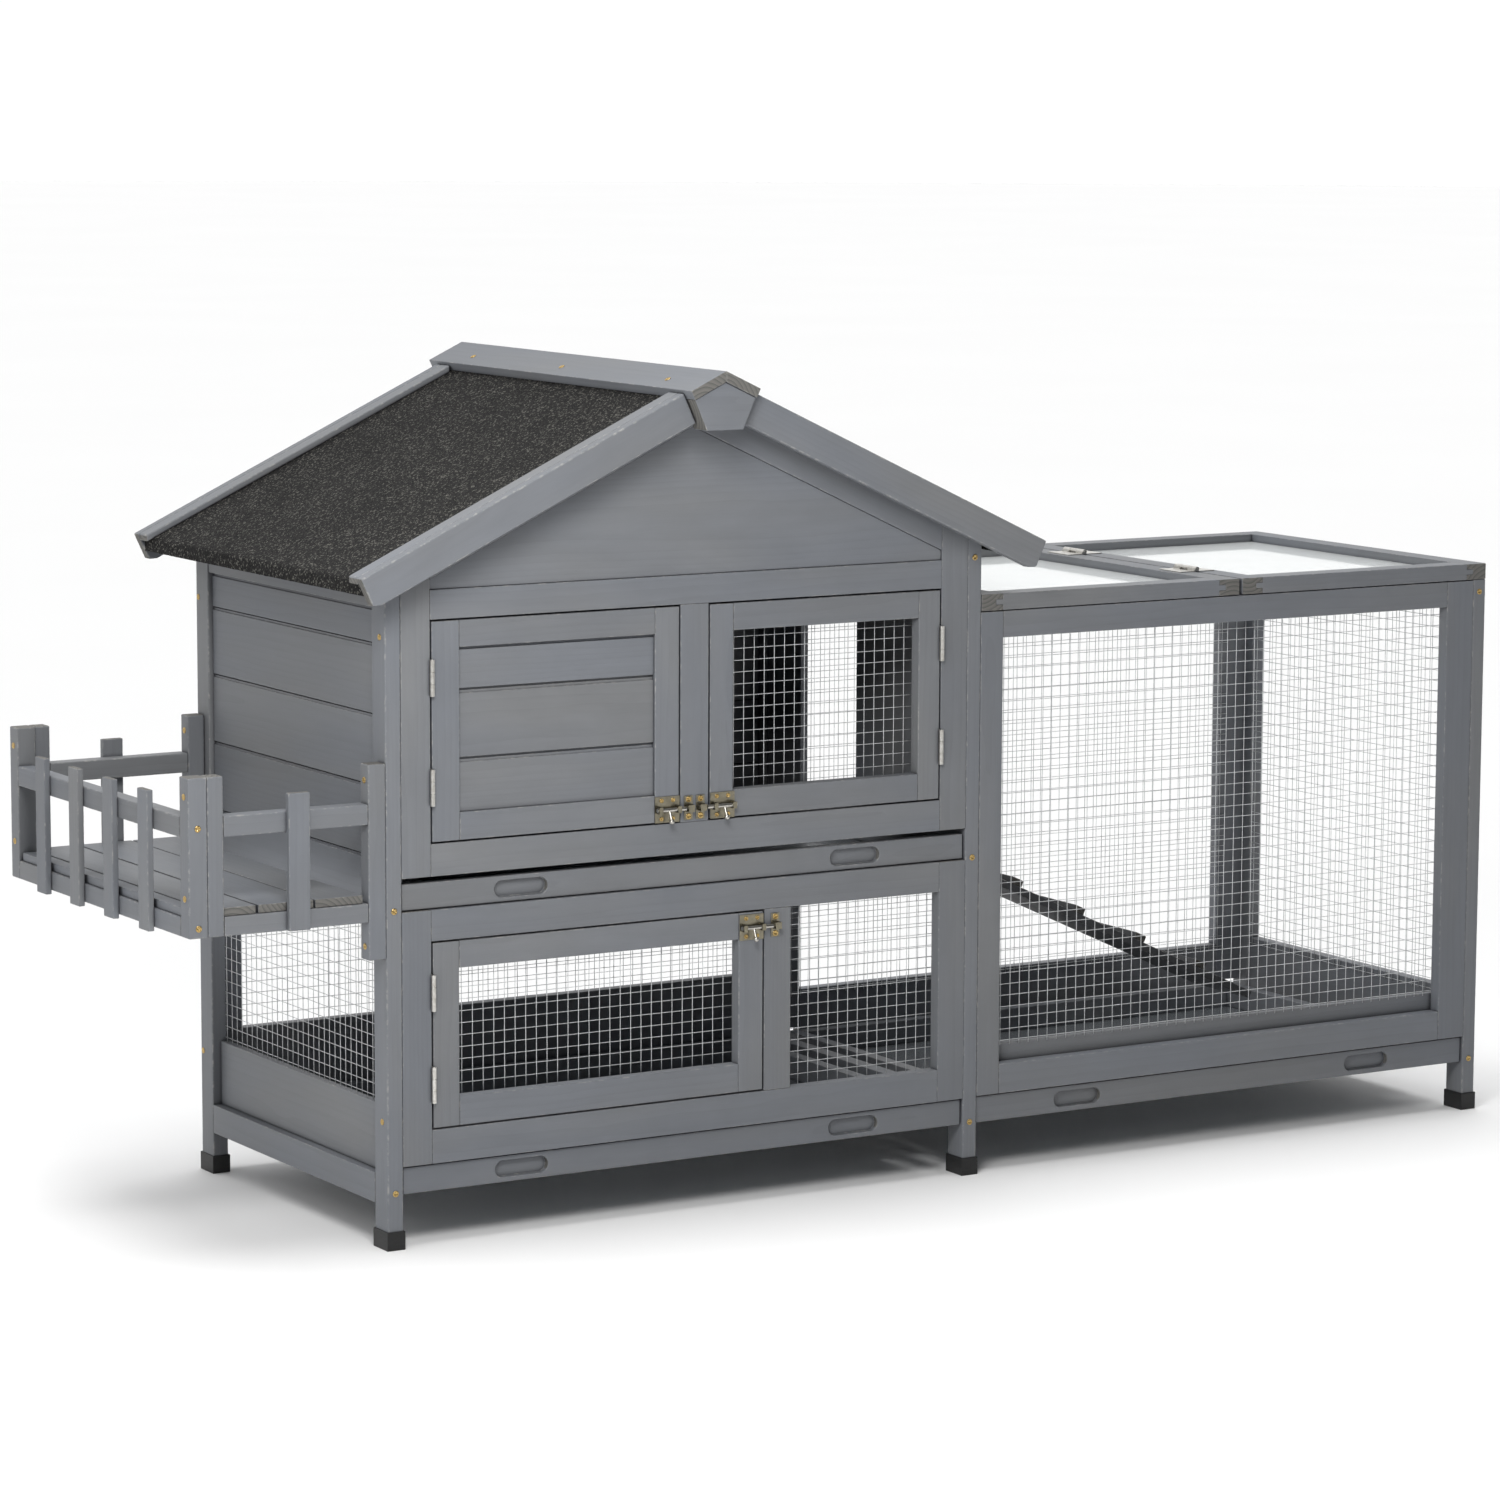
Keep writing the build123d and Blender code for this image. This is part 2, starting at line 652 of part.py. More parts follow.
def door_hinge_frame_side(edge, side, heights):
    """Leaves let into the frame's edge, with the outer two knuckles of each barrel."""
    leaves = []
    axis = hinge_axis_x(edge, side)
    third = HINGE_LEN / 3
    for centre in heights:
        z0 = centre - HINGE_LEN / 2
        x = sorted((edge, edge + side * HINGE_LEAF_T))
        leaf = block(x, (0.5, HINGE_LEAF_D), (z0, z0 + HINGE_LEN))
        for start in (z0, z0 + 2 * third):
            span = (start + 0.2, start + third - 0.2)
            ring = knuckle((axis, BARREL_Y), span[0], span[1] - span[0], BARREL_R, PIN_R, "Z")
            leaf = leaf + ring + block(x, (BARREL_Y + 1.9, 0.6), span)
        leaves.append(leaf)
    return leaves


def door_hinge_door_side(edge, side, heights):
    """Leaves on the door's edge, with the middle knuckle of each barrel."""
    leaves = []
    axis = hinge_axis_x(edge, side)
    door_edge = edge + side * GAP
    third = HINGE_LEN / 3
    for centre in heights:
        z0 = centre - HINGE_LEN / 2
        x = sorted((door_edge, door_edge - side * HINGE_LEAF_T))
        leaf = block(x, (0.5, HINGE_LEAF_D), (z0, z0 + HINGE_LEN))
        span = (z0 + third + 0.2, z0 + 2 * third - 0.2)
        ring = knuckle((axis, BARREL_Y), span[0], span[1] - span[0], BARREL_R, PIN_R + 0.08, "Z")
        leaves.append(leaf + ring + block(x, (BARREL_Y + 1.9, 0.6), span))
    return leaves


def door_hinge_pins():
    pins = []
    for edge, side, heights in DOOR_HINGES.values():
        for centre in heights:
            rod = Cylinder(PIN_R, HINGE_LEN)
            pins.append(Pos(hinge_axis_x(edge, side), BARREL_Y, centre) * rod)
    return pins


DOOR_HINGES = {
    "upper_left": (STILE_L, 1, UP_HINGE_Z),
    "upper_right": (STILE_R, -1, UP_HINGE_Z),
    "lower": (STILE_L, 1, LOW_HINGE_Z),
}

# Each bolt: the plate's middle, which way it shoots, its height and where its keeper starts.
BOLTS = {
    "upper_left": (333.5, 1, BOLT_UP_Z, 354.4),
    "upper_right": (401.5, -1, BOLT_UP_Z, 379.5),
    "lower": (438.5, 1, BOLT_LOW_Z, 463.0),
}
PLATE_T = 0.9
GUIDE_W = 4.5
GUIDE_OFFSET = 11.5
PLATE_SCREW = (7.0, 9.8)     # half spacings of a bolt plate's four screws
KEEPER_SCREW = 9.0
GUIDE_OUT = 8.6
BOLT_SHORT = 0.6
STEM_R = 1.5
STEM_LEN = 13.0
KNOB_R = 2.9
KNOB_DROP = 12.0
KNOB_TILT = 24.0              # degrees that the stem leans out from the door


def strap(x, z, bolt_clear):
    """A pressed strap that bridges the bolt, standing on the face."""
    reach = (-GUIDE_OUT, -PLATE_T)
    height = BOLT_R + bolt_clear
    body = block(x, reach, (z - height - 1.0, z + height + 1.0))
    hollow = block((x[0] - 1, x[1] + 1), (BOLT_Y - height, 0.0), (z - height, z + height))
    return body - hollow


def bolt_plate(name):
    middle, side, z, _ = BOLTS[name]
    half_w = BOLT_PLATE[0] / 2
    half_h = BOLT_PLATE[1] / 2
    plate = block((middle - half_w, middle + half_w), (-PLATE_T, 0.0), (z - half_h, z + half_h))
    for shift in (-GUIDE_OFFSET, GUIDE_OFFSET):
        at = middle + shift
        plate = plate + strap((at - GUIDE_W / 2, at + GUIDE_W / 2), z, 0.35)
    return [plate]


def bolt_rod(name):
    """Round rod with a hanging knob between its two guides."""
    middle, side, z, keeper = BOLTS[name]
    tip = keeper - side * BOLT_SHORT
    tail = middle - side * (GUIDE_OFFSET + 3.2)
    rod = Pos((tip + tail) / 2, BOLT_Y, z) * Rot(0, 90, 0) * Cylinder(BOLT_R, abs(tip - tail))
    stem = Pos(middle, BOLT_Y - 2.5, z - 5.5) * Rot(-KNOB_TILT, 0, 0) * Cylinder(STEM_R, STEM_LEN)
    knob = Pos(middle, BOLT_Y - 5.2, z - KNOB_DROP) * Sphere(KNOB_R)
    return [rod + stem + knob]


def bolt_keepers():
    keepers = []
    for middle, side, z, start in BOLTS.values():
        x = sorted((start, start + side * KEEPER_W))
        half_h = BOLT_PLATE[1] / 2 - 1.0
        base = block(x, (-PLATE_T, 0.0), (z - half_h, z + half_h))
        keepers.append(base + strap((x[0] + 1.5, x[1] - 1.5), z, 0.5))
    return keepers


# ---- trays ----------------------------------------------------------------------------------
TRAYS = {
    "upper_tray": (19.5, 711.5, 356.2, 383.5, (159.5, 571.5)),
    "lower_tray": (19.5, 711.5, 57.5, 85.8, (159.5, 571.5)),
    "run_tray": (732.5, 1416.5, 57.5, 86.6, (869.0, 1277.0)),
}
TRAY_INSET = 18.5


def tray_front(name):
    """The tray's front board, with two blind finger slots."""
    left, right, low, high, slots = TRAYS[name]
    board = block((left, right), (TRAY_Y, TRAY_Y + TRAY_FRONT_T), (low, high))
    for centre in slots:
        profile = SlotOverall(SLOT_LEN, SLOT_H)
        cutter = extrude(Rot(90, 0, 0) * profile, amount=SLOT_DEPTH, dir=(0, 1, 0))
        board = board - Pos(centre, TRAY_Y, (low + high) / 2) * cutter
    return [board]


def tray_sides(name):
    left, right, low, high, _ = TRAYS[name]
    inner_l = left + TRAY_INSET
    inner_r = right - TRAY_INSET
    y = (TRAY_Y + TRAY_FRONT_T, TRAY_BACK)
    z = (low + PAN_T, high)
    back = (TRAY_BACK - TRAY_SIDE_T, TRAY_BACK)
    return [
        block((inner_l, inner_l + TRAY_SIDE_T), y, z),
        block((inner_r - TRAY_SIDE_T, inner_r), y, z),
        block((inner_l + TRAY_SIDE_T, inner_r - TRAY_SIDE_T), back, z),
    ]


def tray_pan(name):
    left, right, low, _, _ = TRAYS[name]
    x = (left + TRAY_INSET, right - TRAY_INSET)
    return [block(x, (TRAY_Y + TRAY_FRONT_T, TRAY_BACK), (low, low + PAN_T))]


def tray_runners():
    runners = []
    y = (RUNNER_FRONT, LOW_BACK_Y[0])
    for left, right, low, _, _ in TRAYS.values():
        z = (low - RUNNER_H - 0.7, low - 0.7)
        runners.append(block((left - 1.5, left - 1.5 + RUNNER_W), y, z))
        runners.append(block((right + 1.5 - RUNNER_W, right + 1.5), y, z))
    return runners


# ---- balcony --------------------------------------------------------------------------------
BALC_FRONT_Y = (0.0, BALC_T)
BALC_SIDE_INNER = BALC_OUT + BALC_POST


def balcony_front_panel():
    rails_x = (BALC_SIDE_INNER + BALC_STILE, -20.0)
    pieces = [
        block((-20.0, 0.0), BALC_FRONT_Y, (BALC_INNER_BOTTOM, BALC_TOP)),
        block((BALC_SIDE_INNER, BALC_SIDE_INNER + BALC_STILE), BALC_FRONT_Y, (BALC_BOTTOM, BALC_TOP)),
    ]
    for z in BALC_RAILS:
        pieces.append(block(rails_x, BALC_FRONT_Y, z))
    return pieces


def balcony_side_panel():
    x = (BALC_OUT, BALC_SIDE_INNER)
    pieces = []
    for y in ((0.0, BALC_POST), (DEPTH - BALC_POST, DEPTH)):
        pieces.append(block(x, y, (BALC_BOTTOM, BALC_TOP)))
    between = (BALC_POST, DEPTH - BALC_POST)
    for z in BALC_RAILS:
        pieces.append(block((BALC_OUT, BALC_OUT + BALC_T), between, z))
    return pieces


def balcony_pickets():
    middle = (BALC_SIDE_INNER + BALC_STILE - 20.0) / 2
    x = (middle - PICKET_W / 2, middle + PICKET_W / 2)
    front = block(x, (-PICKET_T, 0.0), (BALC_BOTTOM, PICKET_Z[1]))
    pickets = [front] + mirror_y([front])
    span = DEPTH - 2 * BALC_POST
    gap = (span - SIDE_PICKETS * PICKET_W) / (SIDE_PICKETS + 1)
    for i in range(SIDE_PICKETS):
        start = BALC_POST + gap + i * (PICKET_W + gap)
        pickets.append(block((BALC_OUT - PICKET_T, BALC_OUT), (start, start + PICKET_W), PICKET_Z))
    return pickets


def balcony_floor():
    z = (BALC_RAILS[0][1], BALC_RAILS[0][1] + FLOOR_T)
    planks = [block((right, left), (2.0, DEPTH - 2.0), z) for left, right in FLOOR_SPLITS[:2]]
    left, right = FLOOR_SPLITS[2]
    outer = block((right, left), (2.0, DEPTH - 2.0), z)
    stile_x = (BALC_SIDE_INNER - 1.0, BALC_SIDE_INNER + BALC_STILE + 0.3)
    for y in ((0.0, BALC_T + 0.3), (DEPTH - BALC_T - 0.3, DEPTH)):
        outer = outer - block(stile_x, y, (z[0] - 1.0, z[1] + 1.0))
    planks.append(outer)
    edge = (BALC_OUT + 3.0, BALC_SIDE_INNER - 1.5)
    planks.append(block(edge, (BALC_POST + 3.0, DEPTH - BALC_POST - 3.0), z))
    return planks


# ---- ramp -----------------------------------------------------------------------------------
def ramp_piece(along, above, y):
    """A straight piece in the ramp's own slope: distances along it and above its hinge axis."""
    piece = block(along, y, above)
    turned = Rot(0, math.degrees(RAMP_ANGLE), 0) * piece
    return Pos(RAMP_AXIS[0], 0, RAMP_AXIS[1]) * turned


def ramp_board():
    return [ramp_piece((5.0, RAMP_LEN), (-RAMP_DROP - RAMP_T, -RAMP_DROP), RAMP_Y)]


def ramp_cleats():
    cleats = []
    for i in range(CLEAT_COUNT):
        start = CLEAT_FIRST + i * CLEAT_PITCH
        cleats.append(ramp_piece((start, start + CLEAT[0]), (-RAMP_DROP, CLEAT[1] - RAMP_DROP), RAMP_Y))
    return cleats


RAMP_HINGE_Y = (262.0, 322.0)
RAMP_KNUCKLE = 10.0


def ramp_hinge_fixed():
    leaves = []
    for centre in RAMP_HINGE_Y:
        y = (centre - 1.5 * RAMP_KNUCKLE, centre + 1.5 * RAMP_KNUCKLE)
        leaf = block((WALL_X[1], WALL_X[1] + 1.0), y, (RAMP_AXIS[1] - 8.0, RAMP_AXIS[1] + 14.0))
        for start in (y[0], y[0] + 2 * RAMP_KNUCKLE):
            span = (start + 0.2, start + RAMP_KNUCKLE - 0.2)
            ring = knuckle(RAMP_AXIS, span[0], span[1] - span[0], BARREL_R, PIN_R, "Y")
            web = block((WALL_X[1], RAMP_AXIS[0] - 1.6), span, (RAMP_AXIS[1] - 0.5, RAMP_AXIS[1] + 0.5))
            leaf = leaf + ring + web
        leaves.append(leaf)
    return leaves


def ramp_hinge_moving():
    leaves = []
    for centre in RAMP_HINGE_Y:
        y = (centre - 1.5 * RAMP_KNUCKLE, centre + 1.5 * RAMP_KNUCKLE)
        leaf = ramp_piece((5.0, 24.0), (-RAMP_DROP, -RAMP_DROP + 1.0), y)
        span = (y[0] + RAMP_KNUCKLE + 0.2, y[0] + 2 * RAMP_KNUCKLE - 0.2)
        ring = knuckle(RAMP_AXIS, span[0], span[1] - span[0], BARREL_R, PIN_R + 0.08, "Y")
        web = ramp_piece((1.2, 6.0), (-RAMP_DROP + 0.2, -RAMP_DROP + 1.2), span)
        leaves.append(leaf + ring + web)
    return leaves


def ramp_hinge_pins():
    rod = Rot(90, 0, 0) * Cylinder(PIN_R, 3 * RAMP_KNUCKLE)
    return [Pos(RAMP_AXIS[0], y, RAMP_AXIS[1]) * rod for y in RAMP_HINGE_Y]


# ---- screws ---------------------------------------------------------------------------------
POST_SCREW_Z = (689.0, 357.0, 60.0)
END_SCREW_Z = (614.5, 61.0)
SIDE_SCREW_Z = (641.0, 135.0)
SIDE_SCREW_DROP = 30.0        # the right side's screws sit lower than the left side's
CAP_SCREW_Y = (10.0, 240.0, 445.0)
CAP_SCREW_D = 26.0            # ridge to screw


def screw_head(position, facing):
    """A low round screw head standing on a face."""
    turns = {"-Y": (90, 0, 0), "-X": (0, -90, 0), "+X": (0, 90, 0), "+Y": (-90, 0, 0), "+Z": (0, 0, 0)}
    shift = {"-Y": (0, -1, 0), "-X": (-1, 0, 0), "+X": (1, 0, 0), "+Y": (0, 1, 0), "+Z": (0, 0, 1)}
    offset = [SCREW_H / 2 * s for s in shift[facing]]
    at = [p + o for p, o in zip(position, offset)]
    return Pos(*at) * Rot(*turns[facing]) * Cylinder(SCREW_R, SCREW_H)


def frame_screws():
    screws = []
    for left in (0.0, MID_L):
        for z in POST_SCREW_Z:
            screws.append(screw_head((left + POST_W / 2, 0.0, z), "-Y"))
            screws.append(screw_head((left + POST_W / 2, DEPTH, z), "+Y"))
    for z in END_SCREW_Z:
        screws.append(screw_head((END_L + POST_W / 2, 0.0, z), "-Y"))
        screws.append(screw_head((END_L + POST_W / 2, DEPTH, z), "+Y"))
    for y in (12.0, DEPTH - 6.0):
        for z in SIDE_SCREW_Z:
            screws.append(screw_head((0.0, y, z), "-X"))
            screws.append(screw_head((TOTAL_W, y, z - SIDE_SCREW_DROP), "+X"))
    return screws


def balcony_screws():
    screws = []
    for y in (9.0, DEPTH - 9.0):
        screws.append(screw_head((-20.0, y, 495.0), "-X"))
        screws.append(screw_head((-20.0, y, 322.0), "-X"))
    for y in (10.0, DEPTH - 10.0):
        screws.append(screw_head((BALC_OUT, y, 492.0), "-X"))
        screws.append(screw_head((BALC_OUT, y, 388.0), "-X"))
    for y, facing in ((0.0, "-Y"), (DEPTH, "+Y")):
        screws.append(screw_head((BALC_OUT + BALC_POST / 2, y, 460.0), facing))
        screws.append(screw_head((BALC_OUT + BALC_POST / 2, y, 358.0), facing))
    return screws


def plate_screws(name):
    """Four small screws at the corners of a bolt's plate."""
    middle, _, z, _ = BOLTS[name]
    screws = []
    for dx in (-PLATE_SCREW[0], PLATE_SCREW[0]):
        for dz in (-PLATE_SCREW[1], PLATE_SCREW[1]):
            screws.append(screw_head((middle + dx, -PLATE_T, z + dz), "-Y"))
    return screws


def keeper_screws():
    screws = []
    for _, side, z, start in BOLTS.values():
        for dz in (-KEEPER_SCREW, KEEPER_SCREW):
            screws.append(screw_head((start + side * KEEPER_W / 2, -PLATE_T, z + dz), "-Y"))
    return screws


def cap_screws():
    """Screws through the ridge cap, square to each slope."""
    screws = []
    apex = FELT_APEX + CAP_BOARD / math.cos(PITCH)
    upright = Pos(0, 0, SCREW_H / 2) * Cylinder(SCREW_R, SCREW_H)
    for side in (-1, 1):
        head = Rot(0, side * math.degrees(PITCH), 0) * upright
        for y in CAP_SCREW_Y:
            place = Pos(RIDGE_X + side * CAP_SCREW_D, y, slope_z(apex, CAP_SCREW_D))
            screws.append(place * head)
    return screws


RAKES, GABLE = gable_pieces(FRAME_Y, (2.0, FRAME_T))
FRONT_TRIM_Y = (DECK_Y[0], DECK_Y[0] + 20.0)
BARGE_Y = (ROOF_FRONT, ROOF_FRONT + BARGE_T)
BLOCK_Y = (CAP_FRONT + 2.0, ROOF_FRONT + BARGE_T - ROOF_CLEAR)
FRONT_BARGES = barge_left(BARGE_Y) + mirror_x(barge_left(BARGE_Y))
FRONT_TRIMS = trim_left(FRONT_TRIM_Y) + mirror_x(trim_left(FRONT_TRIM_Y))

NODES = {
    "corner_posts": house_posts() + run_end_posts(),
    "foot_caps": foot_caps(),
    "upper_front_frame": upper_front_frame() + RAKES,
    "front_gable": GABLE,
    "lower_front_frame": lower_front_frame(),
    "fixed_window_mesh": fixed_window_mesh(),
    "left_wall_planks": left_wall_planks(),
    "left_wall_rails": left_wall_trim() + left_lower_board(),
    "lower_wall_mesh": left_lower_mesh() + back_lower_mesh(),
    "back_wall_boards": back_wall_planks() + back_gable() + back_lower_boards(),
    "divider_wall": divider_wall(),
    "tray_runners": tray_runners(),
    "roof_deck": roof_deck_left() + mirror_x(roof_deck_left()),
    "roof_felt": felt_left() + mirror_x(felt_left()),
    "bargeboards": FRONT_BARGES + mirror_y(FRONT_BARGES),
    "roof_edge_trims": FRONT_TRIMS + mirror_y(FRONT_TRIMS),
    "ridge_cap": ridge_cap(),
    "ridge_blocks": ridge_block(BLOCK_Y) + mirror_y(ridge_block(BLOCK_Y)),
    "run_front_frame": run_front_frame() + run_front_board(),
    "run_back_frame": run_back_frame(),
    "run_end_frame": run_end_frame(),
    "run_front_mesh": run_mesh(FRAME_T, RUN_INNER_TOP - 2.0),
    "run_back_mesh": mirror_y(run_mesh(FRAME_T, RUN_BACK_BOARD_TOP - MESH_LAP)),
    "run_end_mesh": run_end_mesh(),
    "fixed_lid_frame": lid_frame(LID_LEFT_X),
    "fixed_lid_sheet": lid_sheet(LID_LEFT_X),
    "opening_lid_frame": lid_frame(LID_RIGHT_X),
    "opening_lid_sheet": lid_sheet(LID_RIGHT_X),
    "opening_lid_hinges": lid_hinge_leaves(1),
    "solid_door_frame": door_frame(UP_LEFT_OPENING, SOLID_WINDOW),
    "solid_door_planks": solid_door_planks(),
    "mesh_door_frame": door_frame(UP_RIGHT_OPENING, UP_WIN),
    "mesh_door_mesh": window_mesh(UP_WIN, FRAME_T),
    "lower_door_frame": door_frame(LOW_OPENING, LOW_WIN),
    "lower_door_mesh": window_mesh(LOW_WIN, FRAME_T),
    "bolt_keepers": bolt_keepers(),
    "ramp_board": ramp_board(),
    "ramp_cleats": ramp_cleats(),
    "ramp_hinges": ramp_hinge_moving(),
    "hinge_pins": door_hinge_pins() + lid_hinge_pins() + ramp_hinge_pins(),
    "balcony_panels": balcony_front_panel() + mirror_y(balcony_front_panel()) + balcony_side_panel(),
    "balcony_pickets": balcony_pickets(),
    "balcony_floor": balcony_floor(),
    "assembly_screws": frame_screws() + balcony_screws() + cap_screws() + keeper_screws(),
}

fixed_leaves = lid_hinge_leaves(-1) + ramp_hinge_fixed()
for hinge in DOOR_HINGES.values():
    fixed_leaves += door_hinge_frame_side(*hinge)
NODES["fixed_hinge_leaves"] = fixed_leaves
DOORS = {"solid_door": "upper_left", "mesh_door": "upper_right", "lower_door": "lower"}
for door, place in DOORS.items():
    NODES[f"{door}_metal"] = door_hinge_door_side(*DOOR_HINGES[place]) + bolt_plate(place)
    NODES[f"{door}_screws"] = plate_screws(place)
    NODES[f"{door}_bolt"] = bolt_rod(place)
for tray in TRAYS:
    NODES[f"{tray}_box"] = tray_front(tray) + tray_sides(tray)
    NODES[f"{tray}_pan"] = tray_pan(tray)

os.makedirs("parts", exist_ok=True)
for node, solids in NODES.items():
    save(node, solids)
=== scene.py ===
import json
import math
import random

import bmesh
import bpy
from mathutils import Matrix, Vector, noise


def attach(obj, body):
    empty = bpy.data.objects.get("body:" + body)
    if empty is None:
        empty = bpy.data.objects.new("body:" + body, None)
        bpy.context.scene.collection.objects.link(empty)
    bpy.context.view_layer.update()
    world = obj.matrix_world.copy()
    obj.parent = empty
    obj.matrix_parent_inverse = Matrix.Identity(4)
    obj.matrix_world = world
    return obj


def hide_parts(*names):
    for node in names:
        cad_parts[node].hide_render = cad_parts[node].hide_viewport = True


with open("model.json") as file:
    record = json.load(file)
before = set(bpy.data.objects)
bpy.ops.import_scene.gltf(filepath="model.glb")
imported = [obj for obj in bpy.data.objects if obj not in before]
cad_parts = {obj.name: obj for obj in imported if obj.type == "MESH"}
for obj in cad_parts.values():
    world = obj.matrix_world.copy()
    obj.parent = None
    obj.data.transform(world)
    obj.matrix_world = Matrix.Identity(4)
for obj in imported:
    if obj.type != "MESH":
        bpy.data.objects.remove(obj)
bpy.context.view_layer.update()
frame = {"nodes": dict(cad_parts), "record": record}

MM = 0.001
record = frame["record"]
BODIES = record["behaviour"]["bodies"]
BODY_OF = {node: body for body, members in BODIES.items() for node in members}
SLOT_OF = {part["node"]: part["material_slot"] for part in record["subparts"]}
scene = bpy.context.scene
rng = random.Random(7)

CAMERA_PLACE = (-2.95285, -4.8512, 1.2468)
CAMERA_YAW = 31.043           # degrees to the right of straight ahead
CAMERA_PITCH = 7.88           # degrees below level
CAMERA_ROLL = 0.217
CAMERA_LENS = 122.37
SENSOR = 36.0
SHIFT = (0.0009, -0.0023)
ROOF_PITCH = math.radians(25.0)


def add_object(name, data):
    obj = bpy.data.objects.new(name, data)
    bpy.context.collection.objects.link(obj)
    return obj


# ---- camera ---------------------------------------------------------------------------------
def make_camera():
    """The photograph's viewpoint: far off to the front left, looking slightly down."""
    yaw, pitch, roll = (math.radians(a) for a in (CAMERA_YAW, CAMERA_PITCH, CAMERA_ROLL))
    level = math.cos(pitch)
    forward = Vector((math.sin(yaw) * level, math.cos(yaw) * level, -math.sin(pitch)))
    right = Vector((math.cos(yaw), -math.sin(yaw), 0.0))
    up = right.cross(forward)
    right_r = right * math.cos(roll) + up * math.sin(roll)
    up_r = up * math.cos(roll) - right * math.sin(roll)
    data = bpy.data.cameras.new("camera")
    data.sensor_width = SENSOR
    data.lens = CAMERA_LENS
    data.shift_x, data.shift_y = SHIFT
    data.clip_end = 100.0
    camera = add_object("camera", data)
    turn = Matrix((right_r, up_r, -forward)).transposed().to_4x4()
    camera.matrix_world = Matrix.Translation(CAMERA_PLACE) @ turn
    scene.camera = camera


# ---- node helpers ---------------------------------------------------------------------------
class Graph:
    """A small wrapper round a material's node tree."""

    def __init__(self, name):
        self.material = bpy.data.materials.new(name)
        self.material.use_nodes = True
        self.tree = self.material.node_tree
        self.shader = self.tree.nodes["Principled BSDF"]

    def add(self, kind, settings=None, **inputs):
        node = self.tree.nodes.new(kind)
        for key, value in (settings or {}).items():
            setattr(node, key, value)
        for key, value in inputs.items():
            numbered = key[0] == "i" and key[1:].isdigit()
            self.feed(node.inputs[int(key[1:])] if numbered else node.inputs[key], value)
        return node

    def feed(self, socket, value):
        if isinstance(value, bpy.types.NodeSocket):
            self.tree.links.new(value, socket)
        else:
            socket.default_value = value

    def math(self, operation, first, second=0.0, clamp=False):
        settings = {"operation": operation, "use_clamp": clamp}
        return self.add("ShaderNodeMath", settings, i0=first, i1=second).outputs[0]

    def vector(self, operation, first, second):
        return self.add("ShaderNodeVectorMath", {"operation": operation}, i0=first, i1=second).outputs[0]

    def mix(self, factor, first, second, blend="MIX"):
        node = self.tree.nodes.new("ShaderNodeMix")
        node.data_type = "RGBA"
        node.blend_type = blend
        self.feed(node.inputs[0], factor)
        self.feed(node.inputs[6], first)
        self.feed(node.inputs[7], second)
        return node.outputs[2]

    def noise(self, vector, scale, detail=2.0, rough=0.5, output="Fac"):
        node = self.add("ShaderNodeTexNoise", None, Vector=vector, Scale=scale, Detail=detail,
                        Roughness=rough)
        return node.outputs[output]

    def scaled(self, vector, across, wide, along):
        return self.vector("MULTIPLY", vector, (across, wide, along))

    def tone(self, value):
        """A grey colour from a number."""
        return self.add("ShaderNodeCombineColor", None, i0=value, i1=value, i2=value).outputs[0]

    def total(self, *terms):
        """The sum of numbers and of (number, weight) pairs."""
        result = None
        for term in terms:
            if isinstance(term, tuple):
                term = self.math("MULTIPLY", term[0], term[1])
            result = term if result is None else self.math("ADD", result, term)
        return result

    def ramp(self, value, stops):
        node = self.tree.nodes.new("ShaderNodeValToRGB")
        node.color_ramp.elements[0].position = stops[0][0]
        node.color_ramp.elements[0].color = stops[0][1]
        node.color_ramp.elements[1].position = stops[-1][0]
        node.color_ramp.elements[1].color = stops[-1][1]
        for position, color in stops[1:-1]:
            node.color_ramp.elements.new(position).color = color
        self.feed(node.inputs[0], value)
        return node.outputs[0]

    def attribute(self, name, output="Vector"):
        return self.add("ShaderNodeAttribute", {"attribute_name": name}).outputs[output]

    def bump(self, height, strength, distance):
        node = self.add("ShaderNodeBump", None, Height=height, Strength=strength, Distance=distance)
        self.feed(self.shader.inputs["Normal"], node.outputs[0])

    def surface(self, **values):
        """Feeds the shader's own sockets; an underscore stands for a space."""
        for name, value in values.items():
            self.feed(self.shader.inputs[name.replace("_", " ")], value)

    def place(self):
        return self.add("ShaderNodeTexCoord").outputs["Object"]

    def cells(self, vector, scale, channel=0):
        """Random number of each Voronoi cell, and the distance from the cell's centre."""
        node = self.add("ShaderNodeTexVoronoi", None, Vector=vector, Scale=scale)
        split = self.add("ShaderNodeSeparateColor", None, i0=node.outputs["Color"])
        return split.outputs[channel], node.outputs["Distance"]


def grey(value):
    return (value, value, value, 1)


def darker(color, amount):
    return (color[0] * amount, color[1] * amount, color[2] * amount, 1)


# ---- materials ------------------------------------------------------------------------------
RING_PITCH = 0.0048           # metres between growth rings
PAINTED_SHADE_REACH = 0.006               # reach of the painted shade in joints and recesses
# tone multiplied in as painted shade in joints and recesses
PAINTED_SHADE_TONE = (0.34, 0.34, 0.36, 1)
# pale bare wood on the rounded edges, partly wear and partly a painted edge highlight
RUBBED_AND_HIGHLIT_WOOD = (0.40, 0.39, 0.36, 1)
PATCHY = 0.12                 # how unevenly plating shines


